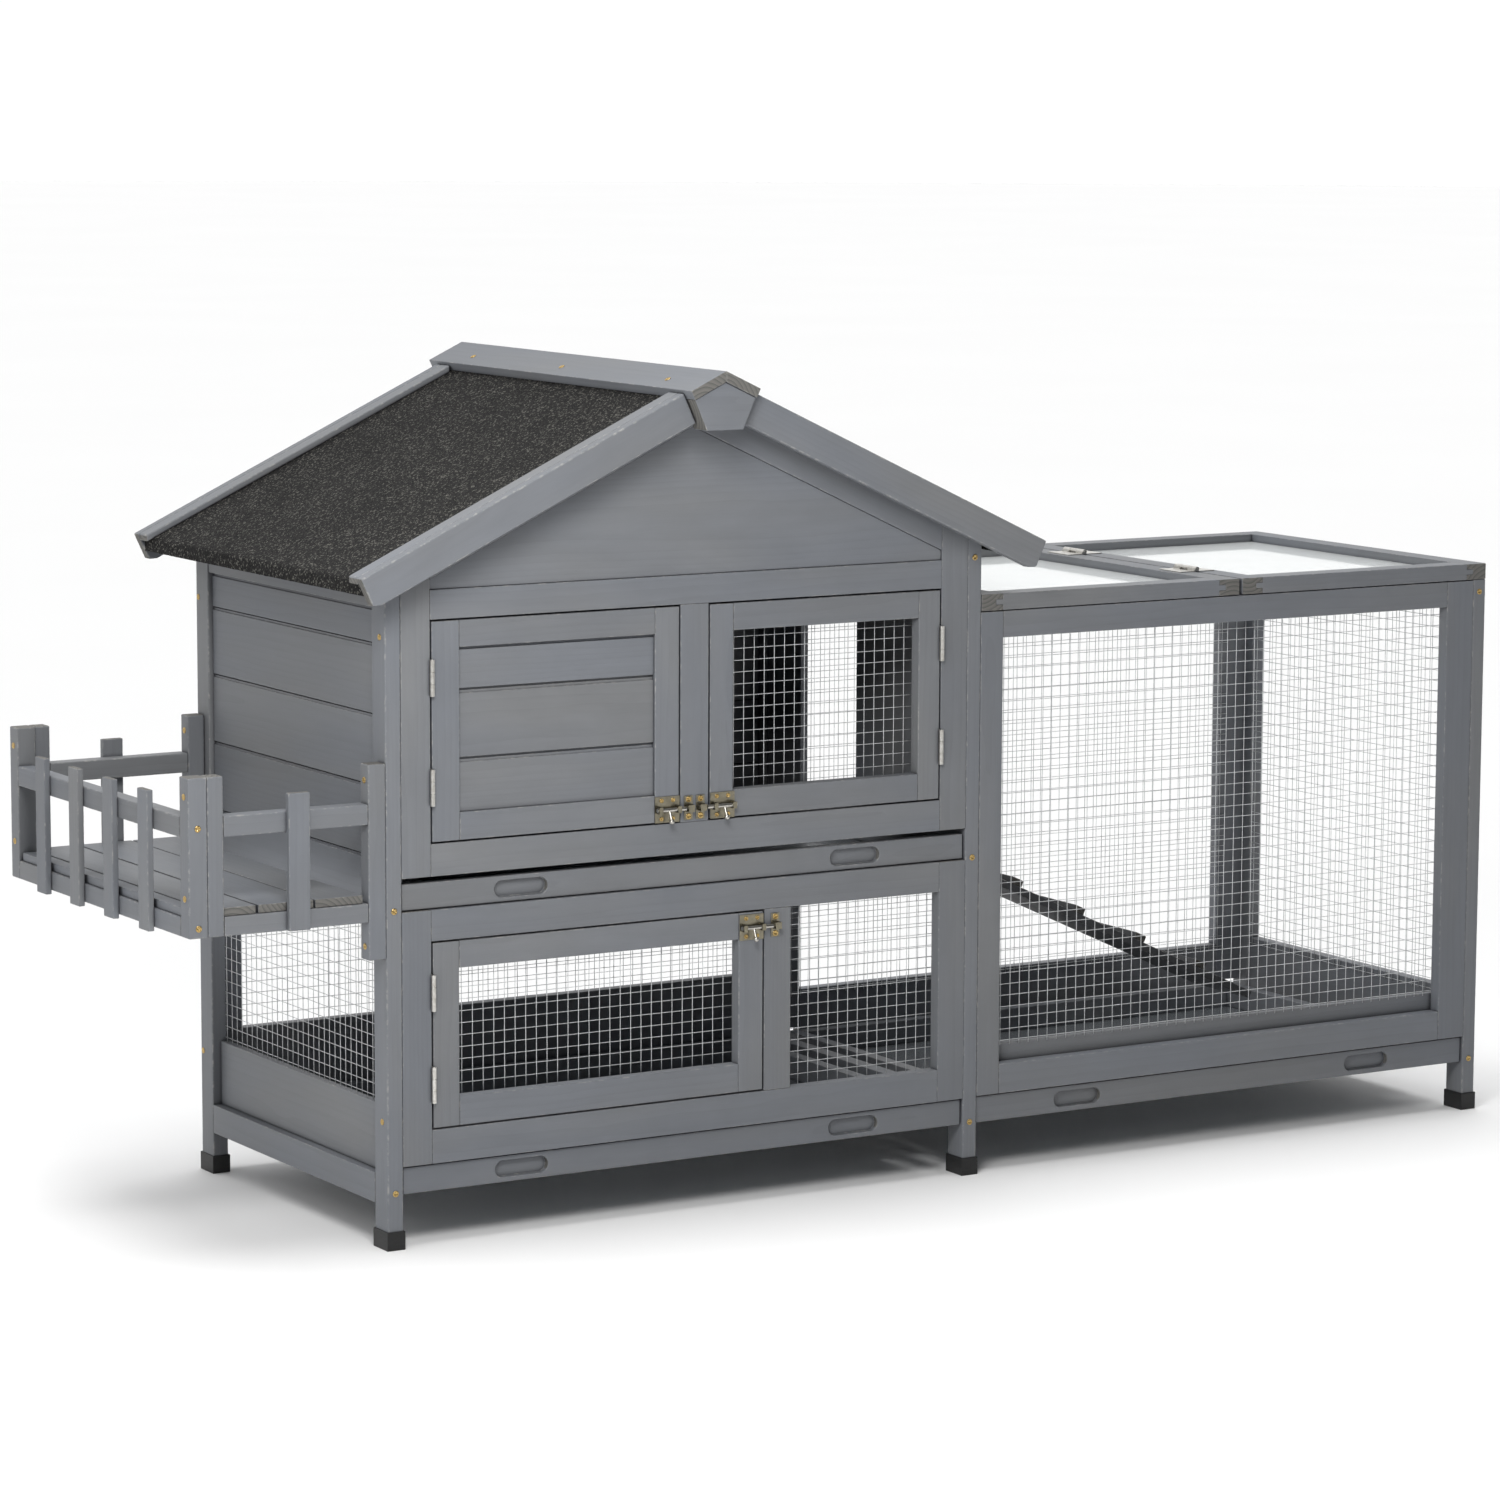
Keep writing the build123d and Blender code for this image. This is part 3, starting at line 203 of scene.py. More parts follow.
def wood_material(name, face, warm, end, shine=0.5, depth=1.0):
    """Stained softwood: brushed stain over soft growth rings, rubbed edges lightened partly as wear and
    partly as painted highlight, dark ringed end grain, painted shade in joints and recesses.
    """
    g = Graph(name)
    where = g.attribute("grain")
    tint = g.attribute("tint", "Fac")
    wear = g.attribute("wear", "Fac")
    cut = g.attribute("cut", "Fac")
    wander = g.noise(g.scaled(where, 14.0, 14.0, 2.4), 1.0, 3.0, 0.55, "Color")
    sway = g.scaled(g.vector("SUBTRACT", wander, (0.5, 0.5, 0.5)), 0.014, 0.014, 0.0)
    flat = g.scaled(g.vector("ADD", where, sway), 1.0, 1.0, 0.0)
    radius = g.add("ShaderNodeVectorMath", {"operation": "LENGTH"}, i0=flat).outputs["Value"]
    ring = g.math("POWER", g.math("FRACT", g.math("MULTIPLY", radius, 1.0 / RING_PITCH)), 2.6)
    fibre = g.noise(g.scaled(where, 850.0, 850.0, 22.0), 1.0, 3.0, 0.6)
    streak = g.noise(g.scaled(where, 120.0, 120.0, 7.0), 1.0, 3.0, 0.5)
    smudge = g.noise(g.scaled(where, 34.0, 34.0, 13.0), 1.0, 4.0, 0.55)
    broad = g.noise(g.scaled(where, 9.0, 9.0, 3.0), 1.0, 2.0, 0.5)
    pores = g.noise(g.scaled(where, 1500.0, 1500.0, 60.0), 1.0, 2.0, 0.7)
    color = g.mix(g.ramp(broad, [(0.36, grey(0.0)), (0.66, grey(1.0))]), face, warm)
    shade = g.total((ring, -0.05), (fibre, 0.08), (streak, 0.10), (smudge, 0.22), (tint, 0.10), 0.775)
    color = g.mix(1.0, color, g.tone(shade), "MULTIPLY")
    late_wood = (end[0] * 0.3, end[1] * 0.32, end[2] * 0.35, 1)
    end_tone = g.mix(g.math("MULTIPLY", ring, 0.8), end, late_wood)
    end_tone = g.mix(g.math("MULTIPLY", pores, 0.5), end_tone, darker(end, 0.45))
    color = g.mix(cut, color, end_tone)
    # rubbed edges: patches of the bevels lightened, partly wear and partly a painted edge highlight
    patch = g.ramp(g.noise(where, 130.0, 3.0, 0.6), [(0.5, grey(0.0)), (0.68, grey(1.0))])
    rubbed_and_highlit = g.math("MULTIPLY", g.math("MULTIPLY", wear, patch), 0.42)
    color = g.mix(rubbed_and_highlit, color, RUBBED_AND_HIGHLIT_WOOD)
    # painted shade: the wood is darkened where ambient occlusion finds joints and recesses
    painted_shade_mask = g.add("ShaderNodeAmbientOcclusion", {"samples": 6}, Distance=PAINTED_SHADE_REACH).outputs["AO"]
    painted_shade_color = g.mix(1.0, color, PAINTED_SHADE_TONE, "MULTIPLY")
    color = g.mix(g.ramp(painted_shade_mask, [(0.35, grey(0.0)), (0.8, grey(1.0))]), painted_shade_color, color)
    rough = g.math("ADD", g.total((smudge, 0.24), shine - 0.12), g.math("MULTIPLY", cut, 0.2), True)
    g.surface(Base_Color=color, Roughness=rough, Specular_IOR_Level=0.3)
    g.bump(g.total((fibre, 0.6), (ring, -0.3), (pores, 0.3)), 0.4 * depth, 0.0004)
    return g.material


def felt_material():
    """Black mineral felt: coarse granules, a few of them pale."""
    g = Graph("roofing_felt")
    where = g.place()
    pick, distance = g.cells(where, 620.0)
    pick_fine, _ = g.cells(where, 1650.0, 1)
    granules = g.ramp(pick, [
        (0.0, (0.002, 0.002, 0.002, 1)),
        (0.45, (0.007, 0.007, 0.007, 1)),
        (0.84, (0.024, 0.023, 0.022, 1)),
        (0.95, (0.15, 0.145, 0.13, 1)),
    ])
    color = g.mix(g.math("MULTIPLY", pick_fine, 0.3), granules, (0.026, 0.025, 0.024, 1))
    patch = g.noise(where, 9.0, 3.0, 0.55)
    color = g.mix(1.0, color, g.ramp(patch, [(0.3, grey(0.8)), (0.7, grey(1.15))]), "MULTIPLY")
    g.surface(Base_Color=color, Roughness=g.total((pick_fine, 0.3), 0.62), Specular_IOR_Level=0.12)
    g.bump(g.total((distance, -1.0), (pick, 0.5)), 0.9, 0.0012)
    return g.material


def metal_material(name, color, dull, rough, scale, metallic=1.0, bronze=None):
    """Plated steel with cloudy plating and small scratches."""
    g = Graph(name)
    where = g.place()
    cloud = g.noise(where, scale, 4.0, 0.6)
    scratch = g.noise(g.scaled(where, 2600.0, 300.0, 300.0), 1.0, 2.0, 0.6)
    shade = g.mix(g.ramp(cloud, [(0.32, grey(0.0)), (0.7, grey(1.0))]), color, dull)
    if bronze:
        shade = g.mix(g.attribute("tint", "Fac"), shade, g.mix(cloud, bronze, darker(bronze, 0.5)))
    patchy = g.total((cloud, 2 * PATCHY), (scratch, PATCHY))
    g.surface(Base_Color=shade, Roughness=g.math("ADD", patchy, rough - PATCHY, True), Metallic=metallic)
    g.bump(g.total(cloud, (scratch, 0.4)), 0.35, 0.00008)
    return g.material


def pan_material():
    """Galvanised sheet with faint spangles and soft smears."""
    g = Graph("tray_pan")
    where = g.place()
    pick, _ = g.cells(where, 85.0)
    smear = g.noise(g.scaled(where, 4.0, 22.0, 4.0), 1.0, 3.0, 0.6)
    dust = g.noise(where, 35.0, 5.0, 0.65)
    color = g.mix(pick, (0.28, 0.30, 0.32, 1), (0.32, 0.34, 0.36, 1))
    color = g.mix(g.ramp(dust, [(0.5, grey(0.0)), (0.8, grey(0.35))]), color, grey(0.33))
    g.surface(Base_Color=color, Roughness=g.total((smear, 0.16), (pick, 0.03), 0.14), Metallic=0.55)
    g.bump(g.total(smear, (pick, 0.01)), 0.10, 0.0008)
    return g.material


def rubber_material():
    """Black moulded caps, scuffed grey in places."""
    g = Graph("foot_rubber")
    where = g.place()
    fine = g.noise(where, 900.0, 3.0, 0.6)
    scuff = g.noise(g.scaled(where, 60.0, 60.0, 240.0), 1.0, 4.0, 0.65)
    marks = g.ramp(scuff, [(0.5, grey(0.0)), (0.78, grey(0.5))])
    color = g.mix(marks, (0.007, 0.007, 0.0075, 1), (0.03, 0.03, 0.029, 1))
    g.surface(Base_Color=color, Roughness=g.total((scuff, 0.25), 0.36))
    g.bump(fine, 0.3, 0.0002)
    return g.material


def sheet_material():
    """Clear acrylic: nearly invisible seen square on, mirror-like at a low angle."""
    g = Graph("clear_sheet")
    where = g.place()
    haze = g.noise(where, 14.0, 4.0, 0.6)
    scratch = g.noise(g.scaled(where, 700.0, 40.0, 40.0), 1.0, 3.0, 0.6)
    facing = g.add("ShaderNodeLayerWeight", None, Blend=0.42).outputs["Fresnel"]
    alpha = g.ramp(facing, [(0.05, grey(0.16)), (0.45, grey(0.72)), (0.9, grey(0.95))])
    color = g.mix(haze, (0.86, 0.89, 0.89, 1), (0.93, 0.95, 0.95, 1))
    g.surface(Base_Color=color, Alpha=alpha, Roughness=g.total((haze, 0.06), 0.03), Specular_IOR_Level=0.6)
    g.bump(g.total(haze, (scratch, 0.08)), 0.06, 0.0006)
    return g.material


STAIN = (0.160, 0.170, 0.188, 1)
STAIN_WARM = (0.172, 0.177, 0.184, 1)
STAIN_END = (0.175, 0.170, 0.158, 1)

WOOD = wood_material("stained_wood", STAIN, STAIN_WARM, STAIN_END)
ROUGH_WOOD = wood_material("rough_wood", (0.165, 0.172, 0.186, 1), grey(0.19), (0.18, 0.17, 0.15, 1),
                           0.62, 1.8)
# the ramp's wood: the stain darkened to well under half its tone, painted shade for the shade the ramp
# lies in
RAMP_SHADE_WOOD = wood_material("ramp_shade_wood", (0.060, 0.063, 0.068, 1), (0.072, 0.073, 0.075, 1),
                          (0.10, 0.095, 0.085, 1), 0.55)
FELT = felt_material()
WIRE = metal_material("galvanised_wire", (0.72, 0.73, 0.74, 1), (0.55, 0.56, 0.57, 1), 0.42, 500.0, 0.4)
ZINC = metal_material("zinc_plate", (0.66, 0.65, 0.62, 1), (0.50, 0.48, 0.44, 1), 0.27, 260.0,
                      bronze=(0.34, 0.31, 0.23, 1))
BRASS = metal_material("yellow_zinc", (0.66, 0.47, 0.19, 1), (0.36, 0.24, 0.09, 1), 0.25, 900.0)
PAN = pan_material()
RUBBER = rubber_material()
SHEET = sheet_material()


# ---- mesh helpers ---------------------------------------------------------------------------
UP = Vector((0, 0, 1))
WELD = 2e5                    # points are rounded to 1 / WELD metres
PITH_DEPTH = (0.018, 0.06)    # how far a board was sawn from the tree's centre
PITH_SIDE = 0.03
PITH_ALONG = 4.0
REBATE = 1.6 * MM             # depth of the step along a plank's top edge
TONGUE_OVERLAP = 0.1 * MM
TOP_TONGUE = 0.5 * MM


def solids(node):
    """The closed solids of a CAD node, each as points and faces with shared corners."""
    mesh = frame["nodes"][node].data
    found = []
    points, lookup, faces, open_edges = [], {}, [], {}
    for polygon in mesh.polygons:
        ids = []
        for index in polygon.vertices:
            co = mesh.vertices[index].co
            key = tuple(round(c * WELD) for c in co)
            if key not in lookup:
                lookup[key] = len(points)
                points.append(co.copy())
            ids.append(lookup[key])
        if len(set(ids)) == len(ids):
            faces.append(ids)
            for a, b in zip(ids, ids[1:] + ids[:1]):
                if open_edges.get((b, a), 0) > 0:
                    open_edges[(b, a)] -= 1
                    if open_edges[(b, a)] == 0:
                        del open_edges[(b, a)]
                else:
                    open_edges[(a, b)] = open_edges.get((a, b), 0) + 1
        if faces and not open_edges:
            found.append((points, faces))
            points, lookup, faces, open_edges = [], {}, [], {}
    if faces:
        found.append((points, faces))
    return found


def to_bmesh(points, faces):
    """A solid as a bmesh, with the triangles of each flat face joined."""
    bm = bmesh.new()
    verts = [bm.verts.new(p) for p in points]
    for ids in faces:
        try:
            bm.faces.new([verts[i] for i in ids])
        except ValueError:
            pass
    bmesh.ops.recalc_face_normals(bm, faces=bm.faces)
    bmesh.ops.dissolve_limit(bm, angle_limit=math.radians(1.0), verts=bm.verts, edges=bm.edges)
    bm.normal_update()
    return bm


class Shape:
    """Collects finished pieces into one mesh with the attributes that the materials read."""

    def __init__(self, name):
        self.name = name
        self.points, self.faces = [], []
        self.grain, self.tint = [], []
        self.wear, self.cut = [], []

    def take(self, bm, axes=None, origin=None, worn_and_highlit=(), tint=0.5):
        """Adds a bmesh and frees it; axes and origin place the grain, worn faces show rubbed edges with a
        painted highlight.
        """
        base = len(self.points)
        bm.verts.index_update()
        thick, wide, long = axes or (Vector((1, 0, 0)), Vector((0, 1, 0)), UP)
        origin = origin or Vector((0, 0, 0))
        for v in bm.verts:
            self.points.append(v.co.copy())
            d = v.co - origin
            self.grain.append((d.dot(thick), d.dot(wide), d.dot(long)))
            self.tint.append(tint)
        worn_and_highlit = set(worn_and_highlit)
        for f in bm.faces:
            self.faces.append([base + v.index for v in f.verts])
            self.wear.append(1.0 if f in worn_and_highlit else 0.0)
            self.cut.append(1.0 if abs(f.normal.dot(long)) > 0.8 and axes else 0.0)
        bm.free()

    def build(self, material, node, weighted=True):
        """Makes the object that stands in for a CAD node."""
        mesh = bpy.data.meshes.new(self.name)
        mesh.from_pydata([tuple(p) for p in self.points], [], self.faces)
        mesh.validate()
        grain = mesh.attributes.new("grain", "FLOAT_VECTOR", "POINT")
        grain.data.foreach_set("vector", [c for row in self.grain for c in row])
        mesh.attributes.new("tint", "FLOAT", "POINT").data.foreach_set("value", self.tint)
        if len(mesh.polygons) == len(self.wear):
            mesh.attributes.new("wear", "FLOAT", "FACE").data.foreach_set("value", self.wear)
            mesh.attributes.new("cut", "FLOAT", "FACE").data.foreach_set("value", self.cut)
        mesh.polygons.foreach_set("use_smooth", [True] * len(mesh.polygons))
        mesh.materials.append(material)
        obj = add_object(self.name, mesh)
        if weighted:
            modifier = obj.modifiers.new("weighted_normal", "WEIGHTED_NORMAL")
            modifier.weight = 50
            modifier.keep_sharp = False
        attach(obj, BODY_OF[node])
        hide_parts(node)


def round_edges(bm, width, segments=2, angle=28.0):
    """Bevels every sharp edge and returns the new faces."""
    limit = math.radians(angle)
    sharp = [e for e in bm.edges if len(e.link_faces) == 2 and e.calc_face_angle(0.0) > limit]
    result = bmesh.ops.bevel(bm, geom=sharp, offset=width, offset_type="OFFSET", segments=segments,
                             profile=0.55, affect="EDGES", clamp_overlap=True)
    bm.normal_update()
    return [f for f in result["faces"] if f.is_valid]


def board_axes(bm):
    """Thickness, width and length directions of a board, from its longest edge and widest face."""
    edge = max(bm.edges, key=lambda e: e.calc_length())
    long = (edge.verts[0].co - edge.verts[1].co).normalized()
    side = max((f for f in bm.faces if abs(f.normal.dot(long)) < 0.3), key=lambda f: f.calc_area())
    thick = side.normal.copy()
    wide = long.cross(thick).normalized()
    return thick, wide, long


def board_origin(bm, axes):
    """A pith placed at random beside the board, so every board has its own rings."""
    thick, wide, long = axes
    center = sum((v.co for v in bm.verts), Vector()) / len(bm.verts)
    out = rng.uniform(*PITH_DEPTH) * rng.choice((-1, 1))
    side = wide * rng.uniform(-PITH_SIDE, PITH_SIDE)
    return center + thick * out + side + long * rng.uniform(-PITH_ALONG, PITH_ALONG)


def add_board(shape, bm, axes, width):
    """Gives a board its own grain, rounds its edges and adds it to the shape."""
    origin = board_origin(bm, axes)
    worn_and_highlit = round_edges(bm, width * MM)
    shape.take(bm, axes, origin, worn_and_highlit, rng.random())


def add_cad_board(shape, solid, width):
    bm = to_bmesh(*solid)
    add_board(shape, bm, board_axes(bm), width)


def wood_node(node, width, material):
    shape = Shape(node + "_boards")
    for solid in solids(node):
        add_cad_board(shape, solid, width)
    shape.build(material, node)


def box_of(points):
    low = Vector([min(p[i] for p in points) for i in range(3)])
    high = Vector([max(p[i] for p in points) for i in range(3)])
    return low, high


def prism(profile, axes, start, length):
    """Extrudes a closed outline (thickness, height) along a direction."""
    across, up, along = axes
    bm = bmesh.new()
    near = [bm.verts.new(start + across * a + up * b) for a, b in profile]
    far = [bm.verts.new(v.co + along * length) for v in near]
    bm.faces.new(near[::-1])
    bm.faces.new(far)
    for i in range(len(near)):
        j = (i + 1) % len(near)
        bm.faces.new((near[i], near[j], far[j], far[i]))
    bmesh.ops.recalc_face_normals(bm, faces=bm.faces)
    bm.normal_update()
    return bm


def plank_profile(height, thick, step, tongue):
    """Outer face at 0: a stepped top edge, and a thin tongue that closes the gap to the plank above."""
    front, back = thick * 0.4, thick * 0.75
    return [
        (0.0, 0.0), (0.0, height - step), (REBATE, height - step), (REBATE, height),
        (front, height), (front, height + tongue), (back, height + tongue),
        (back, height), (thick, height), (thick, 0.0),
    ]


def plank_wall(node, outward, step=2.6, gap=1.2, plain=()):
    """Tongue-and-groove planks, with a double shadow line where two meet; plain solids stay as boards."""
    shape = Shape(node + "_boards")
    pieces = solids(node)
    planks = [s for i, s in enumerate(pieces) if i not in plain]
    planks.sort(key=lambda s: box_of(s[0])[0].z)
    run = 1 if abs(outward.x) > 0.5 else 0
    face = 1 - run
    along = Vector([1.0 if i == run else 0.0 for i in range(3)])
    axes = (-outward, UP, along)
    for index, (points, _) in enumerate(planks):
        low, high = box_of(points)
        size = high - low
        start = low.copy()
        if outward[face] > 0:
            start[face] = high[face]
        top = index == len(planks) - 1
        tongue = TOP_TONGUE if top else gap * MM + TONGUE_OVERLAP
        profile = plank_profile(size.z, size[face], step * MM, tongue)
        add_board(shape, prism(profile, axes, start, size[run]), axes, 0.5)
    for index in plain:
        add_cad_board(shape, pieces[index], COMMON_EDGE)
    shape.build(WOOD, node)


def side_axes(direction):
    """Two directions square to a given one."""
    helper = UP if abs(direction.z) < 0.9 else Vector((1, 0, 0))
    a = direction.cross(helper).normalized()
    return a, direction.cross(a).normalized()


def join_loops(bm, loops):
    count = len(loops[0])
    for first, second in zip(loops[:-1], loops[1:]):
        for i in range(count):
            j = (i + 1) % count
            bm.faces.new((first[i], first[j], second[j], second[i]))


def add_tube(bm, centers, direction, radius, count):
    """A closed tube through a line of centres."""
    a, b = side_axes(direction)
    turns = [2 * math.pi * i / count for i in range(count)]
    ring = [(a * math.cos(turn) + b * math.sin(turn)) * radius for turn in turns]
    loops = [[bm.verts.new(center + spoke) for spoke in ring] for center in centers]
    join_loops(bm, loops)
    bm.faces.new(loops[0][::-1])
    bm.faces.new(loops[-1])


# ---- wire mesh ------------------------------------------------------------------------------
WIRE_RADIUS = 0.38 * MM
WIRE_SIDES = 7
WIRE_STEP = 0.035             # metres between the rings of a wire's mesh


def wire_node(node):
    """Round drawn wires, each very slightly bowed, crossing one another."""
    shape = Shape(node + "_wires")
    for points, _ in solids(node):
        low, high = box_of(points)
        size = high - low
        axis = max(range(3), key=lambda i: size[i])
        direction = Vector([1.0 if i == axis else 0.0 for i in range(3)])
        start = (low + high) / 2 - direction * size[axis] / 2
        a, b = side_axes(direction)
        bow_a, bow_b = rng.uniform(-0.25, 0.25) * MM, rng.uniform(-0.12, 0.12) * MM
        waves = rng.uniform(0.6, 1.6)
        steps = max(6, int(size[axis] / WIRE_STEP))
        centers = []
        for i in range(steps + 1):
            t = i / steps
            turn = math.pi * t * waves
            shift = a * bow_a * math.sin(2 * turn) + b * bow_b * math.sin(3 * turn)
            centers.append(start + direction * size[axis] * t + shift)
        bm = bmesh.new()
        add_tube(bm, centers, direction, WIRE_RADIUS, WIRE_SIDES)
        shape.take(bm, tint=rng.random())
    shape.build(WIRE, node, weighted=False)


# ---- hardware -------------------------------------------------------------------------------
SCREW_RADIUS = 3.4 * MM
SCREW_SIDES = 24
SLANTED_SCREW_HEIGHT = 0.9 * MM
SCREW_RINGS = (               # share of the radius, share of the height
    (1.0, 0.0), (1.0, 0.35), (0.93, 0.7), (0.8, 0.9), (0.62, 1.0), (0.42, 1.04), (0.2, 1.06),
)
RECESS_HALF_WIDTH = 0.17


def screw_level(fraction, level, x, y):
    """Height of a point on the head, lower inside the cross recess."""
    if fraction < 0.7 and (abs(x) < RECESS_HALF_WIDTH or abs(y) < RECESS_HALF_WIDTH):
        return 0.25 if fraction < 0.5 else 0.55
    return level


def screw_top(bm, base, outward, radius, height, turn):
    """A pan head with a cross recess."""
    a, b = side_axes(outward)
    c, s = math.cos(turn), math.sin(turn)
    loops = []
    for fraction, level in SCREW_RINGS:
        loop = []
        for i in range(SCREW_SIDES):
            angle = 2 * math.pi * i / SCREW_SIDES
            x, y = fraction * math.cos(angle), fraction * math.sin(angle)
            spoke = (a * (x * c - y * s) + b * (x * s + y * c)) * radius
            rise = outward * height * screw_level(fraction, level, x, y)
            loop.append(bm.verts.new(base + spoke + rise))
        loops.append(loop)
    join_loops(bm, loops)
    bm.faces.new(loops[0][::-1])
    center = bm.verts.new(base + outward * height * 0.2)
    for i in range(SCREW_SIDES):
        bm.faces.new((loops[-1][i], loops[-1][(i + 1) % SCREW_SIDES], center))


def away_from_middle(outward, center):
    """Turns a screw's axis so that it points out of the hutch, or up."""
    want = UP
    for axis in (1, 0):
        if abs(outward[axis]) > 0.9:
            want = Vector((0, 0, 0))
            want[axis] = -1 if center[axis] < 0 else 1
            break
    return -outward if outward.dot(want) < 0 else outward


def screw_node(node, scale):
    shape = Shape(node + "_heads")
    for points, faces in solids(node):
        bm = to_bmesh(points, faces)
        outward = max(bm.faces, key=lambda f: f.calc_area()).normal.copy()
        bm.free()
        low, high = box_of(points)
        center = (low + high) / 2
        outward = away_from_middle(outward, center)
        square = max(abs(c) for c in outward) > 0.95
        height = min(high - low) if square else SLANTED_SCREW_HEIGHT
        base = center - outward * height / 2
        head = bmesh.new()
        screw_top(head, base, outward, SCREW_RADIUS * scale, height, rng.uniform(0, 1.5))
        bmesh.ops.recalc_face_normals(head, faces=head.faces)
        shape.take(head, tint=rng.random())
    shape.build(BRASS, node, weighted=False)


def bronze_share(node, size):
    """How dull a piece is: plates and keepers are bronzed, bolts a little, hinges not at all."""
    if node == "bolt_keepers" or (node.endswith("_metal") and size.x > 20.0 * MM):
        return 1.0
    return 0.25 if node.endswith("_bolt") else 0.0


def metal_node(node):
    """Pressed metal from the CAD shape, with its edges broken."""
    shape = Shape(node + "_metal")
    for points, faces in solids(node):
        bm = to_bmesh(points, faces)
        round_edges(bm, 0.25 * MM, 2, 40.0)
        low, high = box_of(points)
        shape.take(bm, tint=bronze_share(node, high - low))
    shape.build(ZINC, node)


# ---- felt -----------------------------------------------------------------------------------
FELT_THICK = 1.5 * MM
FELT_COUNT = 60               # steps down the slope
FELT_ROWS = 70                # steps from front to back
EAVE_ROUND = ((1.0, 0.3), (0.2, 1.4), (0.0, 3.2))    # mm in from the eave, mm below its corner
EAVE_START = 2.2 * MM


def felt_path(span, top, skirt):
    """Outer line of a sheet from the ridge to the skirt: distance from the ridge, and height."""
    slope = math.tan(ROOF_PITCH)
    path = []
    for i in range(FELT_COUNT + 1):
        d = min(span * i / FELT_COUNT, span - EAVE_START)
        path.append((d, top - slope * d))
    corner = top - slope * span
    path += [(span - back * MM, corner - drop * MM) for back, drop in EAVE_ROUND]
    bend = path[-1][1]
    return path + [(span, bend + (skirt - bend) * i / 3) for i in range(1, 4)]


def felt_node(node):
    """Each sheet sags and ripples a little between its fixings, and turns down over the eave."""
    shape = Shape(node + "_sheets")
    for points, _ in solids(node):
        low, high = box_of(points)
        left = high.x < 0.0
        ridge = high.x if left else low.x
        outward = -1.0 if left else 1.0
        span = high.x - low.x
        path = felt_path(span, high.z, low.z)
        rise = FELT_THICK / math.cos(ROOF_PITCH)
        inner = [(min(d, span - FELT_THICK), z - rise if i <= FELT_COUNT else z)
                 for i, (d, z) in enumerate(path)]
        last = len(path) - 1
        bm = bmesh.new()
        grid_out, grid_in = [], []
        for r in range(FELT_ROWS + 1):
            y = low.y + (high.y - low.y) * r / FELT_ROWS
            line_out, line_in = [], []
            for i, ((d, z), (di, zi)) in enumerate(zip(path, inner)):
                wave = noise.noise(Vector((d * 9.0, y * 7.0, outward))) * 0.5 * MM
                wave += noise.noise(Vector((d * 40.0, y * 40.0, outward + 5.0))) * 0.12 * MM
                wave = max(wave, -0.4 * MM) * (i <= FELT_COUNT)
                fray = noise.noise(Vector((0.0, y * 120.0, outward))) * 0.5 * MM * (i == last)
                line_out.append(bm.verts.new((ridge + outward * d, y, z + wave + fray)))
                line_in.append(bm.verts.new((ridge + outward * di, y, zi + fray)))
            grid_out.append(line_out)
            grid_in.append(line_in)
        for r in range(FELT_ROWS):
            out, out_next, under, under_next = grid_out[r], grid_out[r + 1], grid_in[r], grid_in[r + 1]
            for i in range(last):
                bm.faces.new((out[i], out_next[i], out_next[i + 1], out[i + 1]))
                bm.faces.new((under[i], under[i + 1], under_next[i + 1], under_next[i]))
            bm.faces.new((out[last], out_next[last], under_next[last], under[last]))
            bm.faces.new((out[0], under[0], under_next[0], out_next[0]))
        for r in (0, FELT_ROWS):
            out, under = grid_out[r], grid_in[r]
            for i in range(last):
                bm.faces.new((out[i], out[i + 1], under[i + 1], under[i]))
        bmesh.ops.remove_doubles(bm, verts=bm.verts, dist=1e-6)
        bmesh.ops.recalc_face_normals(bm, faces=bm.faces)
        shape.take(bm)
    shape.build(FELT, node)


def plain_node(node, name, material, width, segments=3, angle=28.0):
    """A moulded or cut piece from the CAD shape with softened edges."""
    shape = Shape(name)
    for points, faces in solids(node):
        bm = to_bmesh(points, faces)
        round_edges(bm, width * MM, segments, angle)
        shape.take(bm)
    shape.build(material, node)


# ---- the hutch ------------------------------------------------------------------------------
COMMON_EDGE = 0.9             # mm rounded off an edge of wood
EDGE = {
    "corner_posts": 1.6, "bargeboards": 1.8, "roof_edge_trims": 1.6, "ridge_cap": 0.8,
    "ridge_blocks": 0.7, "balcony_panels": 1.5, "balcony_pickets": 1.0, "ramp_board": 0.8,
    "ramp_cleats": 0.8, "run_front_frame": 1.0, "fixed_lid_frame": 0.8, "opening_lid_frame": 0.8,
    "solid_door_frame": 1.0, "mesh_door_frame": 1.0, "lower_door_frame": 1.0,
}
# the ramp board and cleats take the stain darkened as painted shade
SPECIAL_WOOD = {"roof_deck": ROUGH_WOOD, "ramp_board": RAMP_SHADE_WOOD, "ramp_cleats": RAMP_SHADE_WOOD}
PLANK_NODES = ("left_wall_planks", "back_wall_boards", "solid_door_planks")

for node in sorted(SLOT_OF):
    slot = SLOT_OF[node]
    if node in PLANK_NODES:
        continue
    if slot == "stained_wood":
        wood_node(node, EDGE.get(node, COMMON_EDGE), SPECIAL_WOOD.get(node, WOOD))
    elif slot == "bare_wood":
        wood_node(node, 0.7, ROUGH_WOOD)
    elif slot == "wire":
        wire_node(node)
    elif slot == "zinc_hardware":
        metal_node(node)
    elif slot == "screws":
        screw_node(node, 1.0 if node == "assembly_screws" else 0.72)

